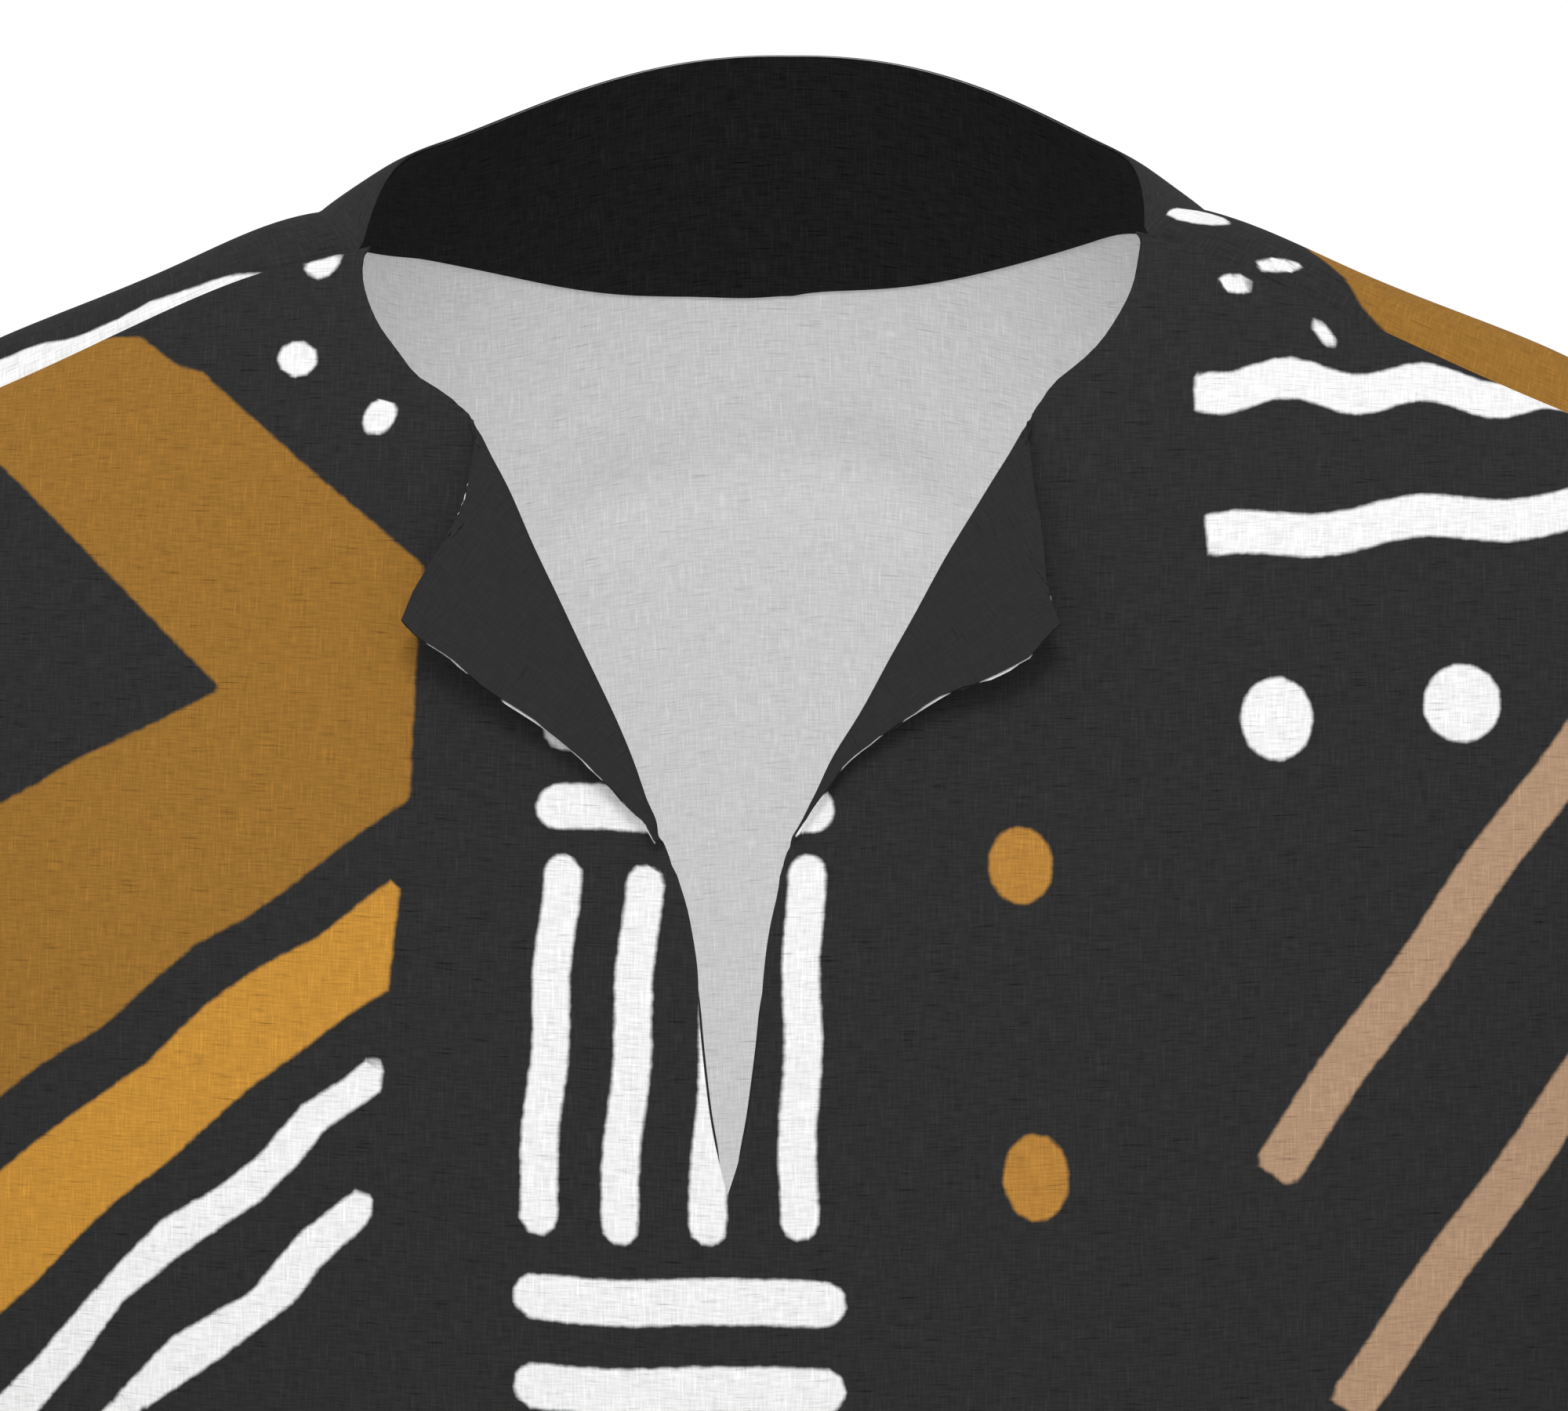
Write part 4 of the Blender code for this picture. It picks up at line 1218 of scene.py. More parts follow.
@dataclass(frozen=True)
class Finish:
    """Makes the shirt's materials.

    Attributes:
        palette: Colours of the dyes.
        look: The weave.
        edges: The edges of the inks.
    """

    palette: Palette = Palette()
    look: LinenLook = LinenLook()
    edges: PrintLook = PrintLook()

    def plain(self, name: str, dye: Dye) -> bpy.types.Material:
        """Linen in one colour; for the neck facing that colour is a darkened charcoal that paints shade.

        Args:
            name: Name of the material.
            dye: The colour.

        Returns:
            The material.
        """
        nodes = NodeBook(name)
        return self._woven(nodes, nodes.color(dye.color), dye.contrast)

    def printed(self, name: str) -> bpy.types.Material:
        """Charcoal linen with the print in its five inks.

        Args:
            name: Name of the material.

        Returns:
            The material.
        """
        nodes = NodeBook(name)
        edges = self.edges
        waver = nodes.noise((edges.waver_length, edges.waver_length), edges.waver_detail)
        waver = nodes.math("MULTIPLY", nodes.math("SUBTRACT", waver, 0.5), edges.waver)
        color = nodes.color(self.palette.charcoal.color)
        contrast = self.palette.charcoal.contrast
        for ink in Ink:
            dye = getattr(self.palette, ink.value)
            gap = nodes.math("ADD", nodes.attribute("gap_" + ink.value), waver)
            mask = nodes.inked(gap, edges.soft)
            color = nodes.mix(mask, color, nodes.color(dye.color))
            contrast = nodes.between(mask, contrast, dye.contrast)
        return self._woven(nodes, color, contrast)

    def _woven(self, nodes: NodeBook, color: Socket, contrast: Value) -> bpy.types.Material:
        """Lays the weave over a material's colour.

        Args:
            nodes: Nodes of the material.
            color: Its colour.
            contrast: How strongly the threads show in it.

        Returns:
            The material.
        """
        look = self.look
        weft = nodes.noise((look.thread_run, look.thread), seed=3.0)
        warp = nodes.noise((look.thread, look.thread_run), seed=11.0)
        slub = nodes.noise((look.slub_run, look.slub_width), detail=2.0, seed=23.0)
        pale = nodes.noise((look.slub_width, look.slub_run), seed=31.0)
        fine = nodes.math("MULTIPLY", nodes.math("SUBTRACT", weft, 0.5), look.weft_depth)
        across = nodes.math("SUBTRACT", warp, 0.5)
        fine = nodes.math("MULTIPLY_ADD", across, look.warp_depth, fine)
        dark = nodes.math("MULTIPLY", nodes.ramp(slub, *look.slub_range), -look.slub_depth)
        light = nodes.math("MULTIPLY", nodes.ramp(pale, *look.pale_range), look.pale_depth)
        change = nodes.math("ADD", nodes.math("ADD", fine, dark), light)
        factor = nodes.math("ADD", nodes.math("MULTIPLY", change, contrast), 1.0)
        nodes.shade(nodes.scale(color, factor), nodes.math("ADD", weft, warp), look)
        return nodes.material


# ---------------------------------------------------------------- sheets of cloth

# The angle from which an edge of the cloth is shaded sharp
SHARP_DEG = 50.0


@dataclass(frozen=True)
class Cut:
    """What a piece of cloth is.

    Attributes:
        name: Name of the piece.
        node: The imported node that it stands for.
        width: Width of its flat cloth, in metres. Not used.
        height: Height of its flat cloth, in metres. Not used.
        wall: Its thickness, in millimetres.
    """

    name: str
    node: str
    width: float
    height: float
    wall: float = PANEL_CLOTH


@dataclass
class Sheet:
    """A sheet of cloth as points, with what its surface carries.

    Attributes:
        points: Points of its middle, in millimetres.
        faces: Four point numbers for each face.
        flat: u and v of each point.
        normals: Outward unit normals.
        printed_inside: True for each face that shows the printed side on its inside too.
    """

    points: Array
    faces: Array
    flat: Array
    normals: Array
    printed_inside: Array | None = None

    def lining(self, faces: Array, points: Array) -> "Sheet":
        """A facing that lies against the inside of some faces.

        Args:
            faces: Those faces.
            points: The sheet's points with the facing's edge moved in.

        Returns:
            The facing's sheet.
        """
        apart = PANEL_CLOTH / 2.0 + LAYER_GAP + FACING_CLOTH / 2.0
        return Sheet(points - self.normals * apart, faces, self.flat, self.normals)


def sheet_normals(points: Array, faces: Array) -> Array:
    """Unit normals at the points of a sheet of four-sided faces.

    Args:
        points: The points.
        faces: Four point numbers for each face.

    Returns:
        A normal for each point.
    """
    corners = points[faces]
    normal = np.cross(corners[:, 2] - corners[:, 0], corners[:, 3] - corners[:, 1])
    total = np.zeros_like(points)
    for k in range(4):
        np.add.at(total, faces[:, k], normal)
    return unit(total)


def point_numbers(shape: tuple[int, ...], first: int = 0) -> Array:
    """Numbers of a grid's points, counted on from a first one."""
    return np.arange(shape[0] * shape[1]).reshape(shape[:2]) + first


def grid_faces(ids: Array, flipped: bool = False) -> Array:
    """Four-sided faces over a grid of point numbers, turned over if flipped."""
    corners = [ids[:-1, :-1], ids[1:, :-1], ids[1:, 1:], ids[:-1, 1:]]
    return np.stack(corners[::-1] if flipped else corners, -1).reshape(-1, 4)


def shell_faces(sheet_faces: list, printed: list, count: int) -> tuple[list, list]:
    """Faces of a closed shell round a sheet.

    Args:
        sheet_faces: Point numbers of each face of the sheet.
        printed: True for each face that shows the printed side on its inside too.
        count: Number of points of the sheet.

    Returns:
        The shell's faces, where the inside's points follow the outside's, and their materials.
    """
    outer, slots = [], []
    for face, inside in zip(sheet_faces, printed):
        corner = tuple(dict.fromkeys(face))
        if len(corner) > 2:
            outer.append(corner)
            slots.append(0 if inside else 1)
    inner = [tuple(i + count for i in reversed(face)) for face in outer]
    edges = set()
    for face in outer:
        edges.update(zip(face, face[1:] + face[:1]))
    rim = [(b, a, a + count, b + count) for a, b in sorted(edges) if (b, a) not in edges]
    return outer + inner + rim, [0] * len(outer) + slots + [0] * len(rim)


def make_cloth(cut: Cut, sheet: Sheet, materials: tuple, inks: Inks | None) -> bpy.types.Object:
    """A closed thin shell with the sheet in its middle.

    Args:
        cut: What the piece is.
        sheet: The sheet.
        materials: Material of the outside, and of the inside if it has its own.
        inks: Signed distance of each point to each ink, or None.

    Returns:
        The object.
    """
    used, renumbered = np.unique(sheet.faces, return_inverse=True)
    count = len(used)
    printed = sheet.printed_inside
    if printed is None:
        printed = np.zeros(len(sheet.faces), bool)
    faces, slots = shell_faces(renumbered.reshape(sheet.faces.shape).tolist(), printed.tolist(), count)
    half = sheet.normals[used] * cut.wall / 2.0
    both = np.concatenate([sheet.points[used] + half, sheet.points[used] - half])
    mesh = bpy.data.meshes.new(cut.name)
    mesh.from_pydata((both * MM).tolist(), [], faces)
    mesh.update()
    for material in materials:
        mesh.materials.append(material)
    mesh.polygons.foreach_set("material_index", slots if len(materials) > 1 else [0] * len(slots))
    mesh.polygons.foreach_set("use_smooth", [True] * len(slots))
    mesh.set_sharp_from_angle(angle=math.radians(SHARP_DEG))
    layer = mesh.uv_layers.new(name=UV_NAME)
    corner_point = np.empty(len(mesh.loops), np.int32)
    mesh.loops.foreach_get("vertex_index", corner_point)
    flat = sheet.flat[used][corner_point % count]
    layer.data.foreach_set("uv", (flat * MM).astype(np.float32).ravel())
    for ink, gap in (inks or {}).items():
        kept = mesh.attributes.new("gap_" + ink.value, "FLOAT", "POINT")
        kept.data.foreach_set("value", np.tile(gap[used], 2).astype(np.float32))
    made = bpy.data.objects.new(cut.name, mesh)
    bpy.context.scene.collection.objects.link(made)
    LOG.info("%s: %d faces", cut.name, len(mesh.polygons))
    return made


# ---------------------------------------------------------------- the front


@dataclass
class Front:
    """The front panel, its turned-out corners and the two slit facings.

    Attributes:
        upper_rows: Stretches of rows above the underarm level: lower end, number of rows.
        lower_rows: Rows between the underarm level and the hem.
        edge_step: Width of the first column at the slit.
        near_columns: Columns over the rest of a facing's width.
        far_columns: Columns from there to the side.
        roll_columns: Columns over the roll of a turned corner.
        flat_columns: Columns over the rest of it.
        edge_strip: Width of the strip along a corner's cut edge.
        edge_levels: Heights at which that edge is measured.
        edge_window: Part of the edge that is near a row, in widths of the strip.
        edge_search: Step by which the strip's inner line is looked for.
        least_share: Least part of a corner's width inside that line, and most part in the roll.
        narrow_share: Part of it inside that line where the cloth is too narrow for the strip.
        fold_steps: Points of a fold line.
        fold_run_on: How far it is drawn out beyond its ends.
        run_on_steps: Points of each such stretch.
        ahead_step: Distance over which the direction into the opening is measured.
        corner_lift: How far a turned corner stands off at its reach.
        corner_reach: Distance from the fold line at which it does.
        lift_power: How late it rises.
        facing_width: Width of a slit facing.
        facing_end: Height of its lower end.
        inset_growth: Height over which the facing draws back from the ends of the fold line.
        facing_shows: How far it shows beyond the slit's edge.
        shows_below: Depths below the neck level between which it comes out.
        shows_above: Heights between which it goes in again.
        shoulder_from: Distance from the middle where the shoulder seam starts.
    """

    upper_rows: Table = (
        (FOLD_TOP_Z, 14), (-65.8, 19), (-74.6, 18), (-75.8, 6), (-78.2, 8), (-150.0, 33),
        (FOLD_BOTTOM_Z, 16), (SLIT_BOTTOM_Z, 29), (UNDERARM_Z, 16),
    )
    lower_rows: int = 83
    edge_step: float = 0.8
    near_columns: int = 15
    far_columns: int = 70
    roll_columns: int = 10
    flat_columns: int = 13
    edge_strip: float = 0.24
    edge_levels: int = 1200
    edge_window: float = 3.0
    edge_search: float = 0.04
    least_share: float = 0.5
    narrow_share: float = 0.8
    fold_steps: int = 200
    fold_run_on: float = 25.0
    run_on_steps: int = 29
    ahead_step: float = 0.5
    corner_lift: float = 11.0
    corner_reach: float = 40.0
    lift_power: float = 1.5
    facing_width: float = 40.0
    facing_end: float = -252.0
    inset_growth: float = 5.0
    facing_shows: float = 0.9
    shows_below: Pair = (186.0, 198.0)
    shows_above: Pair = (-236.0, -226.0)
    shoulder_from: float = 60.0

    def __post_init__(self) -> None:
        """Measures the flat cloth, lays out the rows and builds the sheet."""
        self.flat_cloth = FlatCloth(Cloth.FRONT)
        rows = NECK_POINT_Z - np.array(SEAM_STEPS)
        for lower_end, count in self.upper_rows:
            rows = spaced(rows, lower_end, count)
        self.height = rows[:-1]
        self.slit_row = int(np.flatnonzero(self.height <= SLIT_BOTTOM_Z + TINY)[0])
        lower = np.linspace(1.0, 2.0, self.lower_rows + 1)[:-1]
        self.down = np.concatenate([down_of(self.height), lower, [HEM_ROW_DOWN, 2.0]])
        self.numbers = {}
        self.sheet = self._sheet()

    def _half(self, side: int) -> tuple[Array, Array]:
        """Points and flat coordinates of one half's grid.

        Args:
            side: The side.

        Returns:
            Grids of points and of pairs of u and v.
        """
        opening = np.zeros(len(self.down))
        above = self.height > SLIT_BOTTOM_Z
        opening[: len(above)] = np.where(above, opening_at(self.height, side), 0.0)
        near = spaced((0.0, self.edge_step), self.facing_width, self.near_columns)
        near_across = across_of(opening[:, None] + near)
        seam = np.array(SEAM_STEPS[::-1]) / CHEST_QUARTER
        start = near_across[:, -1:]
        far = start + (1.0 - seam[0] - start) * np.linspace(0.0, 1.0, self.far_columns + 1)[1:]
        rim = np.broadcast_to(1.0 - seam[1:], (len(self.down), len(seam) - 1))
        across = side * np.concatenate([near_across, far, rim], axis=1)
        down = self.down[:, None]
        return body_point(across, down, Cloth.FRONT), self.flat_cloth.at(across, down)

    def _sheet(self) -> Sheet:
        """Joins both halves and their corners in one sheet.

        Returns:
            The sheet.
        """
        points, flats, faces, printed, rolled = [], [], [], [], []
        total = 0
        for side in (RIGHT, LEFT):
            grid, flat = self._half(side)
            ids = point_numbers(grid.shape, total)
            total += ids.size
            if side == LEFT:
                ids[self.slit_row :, 0] = self.numbers[RIGHT][0][self.slit_row :, 0]
            corner, normal, corner_flat, rows = self._corner(side)
            corner_ids = point_numbers(corner.shape, total)
            total += corner_ids.size
            corner_ids[:, 0] = ids[rows, 0]
            corner_ids[0], corner_ids[-1] = ids[rows[0], 0], ids[rows[-1], 0]
            self.numbers[side] = (ids, corner_ids, rows)
            rolled.append((corner_ids[1:-1].ravel(), normal[1:-1].reshape(-1, 3)))
            points += [grid.reshape(-1, 3), corner.reshape(-1, 3)]
            flats += [flat.reshape(-1, 2), corner_flat.reshape(-1, 2)]
            faces += [grid_faces(ids, side == RIGHT), grid_faces(corner_ids, side == LEFT)]
            edge = np.zeros((ids.shape[0] - 1, ids.shape[1] - 1), bool)
            edge[: self.slit_row, :2] = True
            printed += [edge.ravel(), np.ones(len(faces[-1]), bool)]
        points, flats, faces = np.concatenate(points), np.concatenate(flats), np.concatenate(faces)
        normals = sheet_normals(points, faces)
        push = crease_push(flats, Cloth.FRONT) - self._dip(flats)
        for ids, own in rolled:
            normals[ids] = own
        for _, corner_ids, _ in self.numbers.values():
            push[corner_ids[:, 1:]] = 0.0
        return Sheet(points + normals * push[:, None], faces, flats, normals, np.concatenate(printed))

    def _dip(self, flats: Array) -> Array:
        """How deep the seams draw the cloth in.

        Args:
            flats: Pairs of u and v.

        Returns:
            Depth in millimetres for each pair.
        """
        away = np.abs(flats[:, 0])
        top = self.flat_cloth.at(flats[:, 0] / CHEST_QUARTER, 0.0)[:, 1]
        to_shoulder = np.where(away > self.shoulder_from, top - flats[:, 1], FAR_FROM_SEAM)
        return seam_dip(np.minimum(to_shoulder, CHEST_QUARTER - away))

    @staticmethod
    def _width(height: Array, side: int) -> Array:
        """How far a corner's cloth runs past its fold line at a height."""
        table = np.array(CORNERS[side])
        return np.interp(-height, -table[:, 0], table[:, 1])

    def _strip_reach(self, height: Array, side: int, width: Array) -> Array:
        """Reach of the line that runs one strip's width inside a corner's cut edge.

        Args:
            height: Heights of the corner's rows.
            side: The corner's side.
            width: Width of the cloth in each row.

        Returns:
            Distance from the fold line in each row.
        """
        level = np.linspace(FOLD_TOP_Z, FOLD_BOTTOM_Z, self.edge_levels)
        edge = np.stack([self._width(level, side), level], -1)
        found = width * self.narrow_share
        for k, (row, most) in enumerate(zip(height, width)):
            reach = np.arange(0.0, most, self.edge_search)
            if len(reach) < 2:
                continue
            close = edge[np.abs(level - row) < self.edge_strip * self.edge_window]
            gap = np.hypot(close[None, :, 0] - reach[:, None], close[None, :, 1] - row).min(axis=1)
            clear = np.flatnonzero(gap >= self.edge_strip)
            if len(clear):
                found[k] = max(reach[clear[-1]], most * self.least_share)
        return found

    def _corner(self, side: int) -> tuple[Array, Array, Array, Array]:
        """A corner that is turned out over its fold line.

        Args:
            side: Its side.

        Returns:
            Its points, normals and flat coordinates, and the rows that it leaves from.
        """
        turned = (self.height <= FOLD_TOP_Z + TINY) & (self.height >= FOLD_BOTTOM_Z - TINY)
        rows = np.flatnonzero(turned)
        height = self.height[rows]
        width = self._width(height, side)
        radius = np.interp(width, *np.transpose(ROLL))
        roll = np.minimum(np.pi * radius, width * self.least_share)[:, None]
        strip = width - self._strip_reach(height, side, width)
        part = np.linspace(0.0, 1.0, self.flat_columns + 1)[1:]
        rest = roll + (width - strip - roll[:, 0])[:, None] * part
        first = roll * np.linspace(0.0, 1.0, self.roll_columns + 1)
        reach = np.concatenate([first, rest, width[:, None]], axis=1)
        level = np.broadcast_to(height[:, None], reach.shape)
        flat = np.stack([side * (opening_at(height, side)[:, None] - reach), level], -1)
        radius = np.broadcast_to(radius[:, None], reach.shape).reshape(-1, 1)
        place, normal = self._turned(flat.reshape(-1, 2), side, radius)
        cloth = self.flat_cloth.at(across_of(flat[..., 0]), down_of(level))
        shape = reach.shape + (3,)
        return place.reshape(shape), normal.reshape(shape), cloth, rows

    def _fold_curve(self, side: int) -> tuple[Array, Array]:
        """The fold line as sideways and height, and its unit normal into the opening.

        Args:
            side: The side.

        Returns:
            Places on the line and a normal for each of them.
        """
        height = np.linspace(FOLD_TOP_Z, FOLD_BOTTOM_Z, self.fold_steps)
        line = np.stack([opening_at(height, side), height], -1)
        beyond = np.linspace(0.0, self.fold_run_on, self.run_on_steps + 1)[1:, None]
        above = line[0] + unit(line[0] - line[1]) * beyond[::-1]
        below = line[-1] + unit(line[-1] - line[-2]) * beyond
        line = np.concatenate([above, line, below])
        along = unit(np.gradient(line, axis=0))
        into = np.stack([along[:, 1], -along[:, 0]], -1)
        return line * (side, 1.0), into * (side, 1.0)

    @staticmethod
    def _on_front(place: Array) -> tuple[Array, Array]:
        """Front cloth at places given as sideways and height, with its outward normal.

        Args:
            place: Pairs of sideways distance and height.

        Returns:
            A point and a normal for each place.
        """
        across, down = across_of(place[:, 0]), down_of(place[:, 1])
        moves = (NORMAL_STEP, -NORMAL_STEP)
        sideways = [body_point(across + move, down, Cloth.FRONT) for move in moves]
        downwards = [body_point(across, down + move, Cloth.FRONT) for move in moves]
        normal = unit(np.cross(sideways[0] - sideways[1], downwards[1] - downwards[0]))
        return body_point(across, down, Cloth.FRONT), normal

    def _turned(self, flat: Array, side: int, radius: Array) -> tuple[Array, Array]:
        """Rolls a corner's flat cloth out over its fold line and lays it on the front.

        Args:
            flat: Sideways and height of each point before it is turned.
            side: The corner's side.
            radius: Radius of the roll at each point.

        Returns:
            Places and normals of the points.
        """
        line, into = self._fold_curve(side)
        gap = np.linalg.norm(flat[:, None, :] - line[None], axis=2)
        nearest = np.argmin(gap, axis=1)
        beyond = gap[np.arange(len(flat)), nearest][:, None]
        hinge, into = line[nearest], into[nearest]
        point, normal = self._on_front(hinge)
        ahead = unit(self._on_front(hinge + into * self.ahead_step)[0] - point)
        turn = np.minimum(beyond / radius, np.pi)
        past = np.maximum(beyond - np.pi * radius, 0.0)
        rolled = point + ahead * radius * np.sin(turn) + normal * radius * (1.0 - np.cos(turn))
        rolled_normal = normal * np.cos(turn) - ahead * np.sin(turn)
        laid, laid_normal = self._on_front(hinge - into * past)
        lift = 2.0 * radius + self.corner_lift * (past / self.corner_reach) ** self.lift_power
        place = np.where(past > 0.0, laid + laid_normal * lift, rolled)
        return place, np.where(past > 0.0, -laid_normal, rolled_normal)

    def dash_edges(self, inks: Inks) -> None:
        """Carries the strokes that reach the corners' cut edges round those edges.

        Args:
            inks: Signed distance of each point to each ink, changed in place.
        """
        for side, dashes in EDGE_DASHES.items():
            _, corner_ids, rows = self.numbers[side]
            ids = corner_ids[:, -2:].ravel()
            height = self.height[rows]
            for ink, start, end in dashes:
                inside = np.minimum(start - height, height - end) > -TINY
                value = np.repeat(np.where(inside, DASH_INSIDE, DASH_OUTSIDE), 2)
                inks[ink][ids] = np.minimum(inks[ink][ids], value)

    def facing(self, side: int) -> Sheet:
        """The facing on the inside of one slit edge and over its turned-out corner.

        Args:
            side: The side.

        Returns:
            The facing's sheet.
        """
        ids, corner_ids, _ = self.numbers[side]
        rows = int(np.flatnonzero(self.height <= self.facing_end)[0]) + 1
        band = ids[:rows, : self.near_columns + 2]
        height = self.height[:rows]
        past_fold = np.maximum(height - FOLD_TOP_Z, FOLD_BOTTOM_Z - height)
        inset = FACING_INSET * smooth_step(0.0, self.inset_growth, past_fold)
        shows = self.facing_shows * smooth_step(*self.shows_below, -height)
        inset -= shows * smooth_step(*self.shows_above, height)
        points = self.sheet.points.copy()
        step = points[band[:, 1]] - points[band[:, 0]]
        points[band[:, 0]] += unit(step) * inset[:, None]
        faces = [grid_faces(band, side == RIGHT), grid_faces(corner_ids[:, :-1], side == LEFT)]
        return self.sheet.lining(np.concatenate(faces), points)


# ---------------------------------------------------------------- the back


@dataclass
class Back:
    """The back panel, which comes forward over the shoulders, and its neck facing.

    Attributes:
        columns: Columns over the neck facing.
        outer_columns: Columns from there to each side.
        edge_parts: First rows of the facing, as parts of its height.
        facing_rows: Its other rows.
        upper_rows: Rows from there to the underarm level.
        lower_rows: Rows between the underarm level and the hem.
    """

    columns: int = 136
    outer_columns: int = 37
    edge_parts: tuple[float, ...] = (0.0, 0.005, 0.012, 0.024, 0.045)
    facing_rows: int = 25
    upper_rows: int = 61
    lower_rows: int = 126

    def __post_init__(self) -> None:
        """Lays out the grid and builds the sheet."""
        self.flat_cloth = FlatCloth(Cloth.BACK)
        rim = 1.0 - np.array(SEAM_STEPS[::-1]) / CHEST_QUARTER
        outer = np.linspace(BACK_FACING_END, rim[0], self.outer_columns + 1)[1:]
        outer = np.concatenate([outer, rim[1:]])
        inner = BACK_FACING_END * np.linspace(-1.0, 1.0, self.columns + 1)
        across = np.concatenate([-outer[::-1], inner, outer])
        reach = through(FACING_EDGE, np.clip(across, -BACK_FACING_END, BACK_FACING_END))[None]
        part = spaced(self.edge_parts, 1.0, self.facing_rows)[:, None]
        rest = np.linspace(0.0, 1.0, self.upper_rows + 1)[1:, None]
        lower = np.linspace(1.0, 2.0, self.lower_rows + 2)[1:-1]
        lower = np.concatenate([lower, [HEM_ROW_DOWN, 2.0]])[:, None]
        lower = np.broadcast_to(lower, (len(lower), len(across)))
        self.down = np.concatenate([reach * part, reach + (1.0 - reach) * rest, lower])
        ids = point_numbers(self.down.shape)
        self.facing_ids = ids[: len(part), len(outer) : len(outer) + self.columns + 1]
        points = body_point(across[None], self.down, Cloth.BACK).reshape(-1, 3)
        flat = self.flat_cloth.at(across[None], self.down).reshape(-1, 2)
        faces = grid_faces(ids, flipped=True)
        normals = sheet_normals(points, faces)
        push = crease_push(flat, Cloth.BACK) - self._dip(flat)
        self.sheet = Sheet(points + normals * push[:, None], faces, flat, normals)

    @staticmethod
    def _dip(flat: Array) -> Array:
        """How deep the seams draw the cloth in.

        Args:
            flat: Pairs of u and v.

        Returns:
            Depth in millimetres for each pair.
        """
        away = np.abs(flat[:, 0])
        on_seam = away > CHEST_QUARTER * NECK_END_ACROSS
        to_shoulder = np.where(on_seam, -flat[:, 1], FAR_FROM_SEAM)
        return seam_dip(np.minimum(to_shoulder, CHEST_QUARTER - away))

    def facing(self) -> Sheet:
        """The facing inside the back of the neck.

        Returns:
            The facing's sheet.
        """
        ids = self.facing_ids
        points = self.sheet.points.copy()
        points[ids[0]] += unit(points[ids[1]] - points[ids[0]]) * FACING_INSET
        return self.sheet.lining(grid_faces(ids, flipped=True), points)


# ---------------------------------------------------------------- sleeves


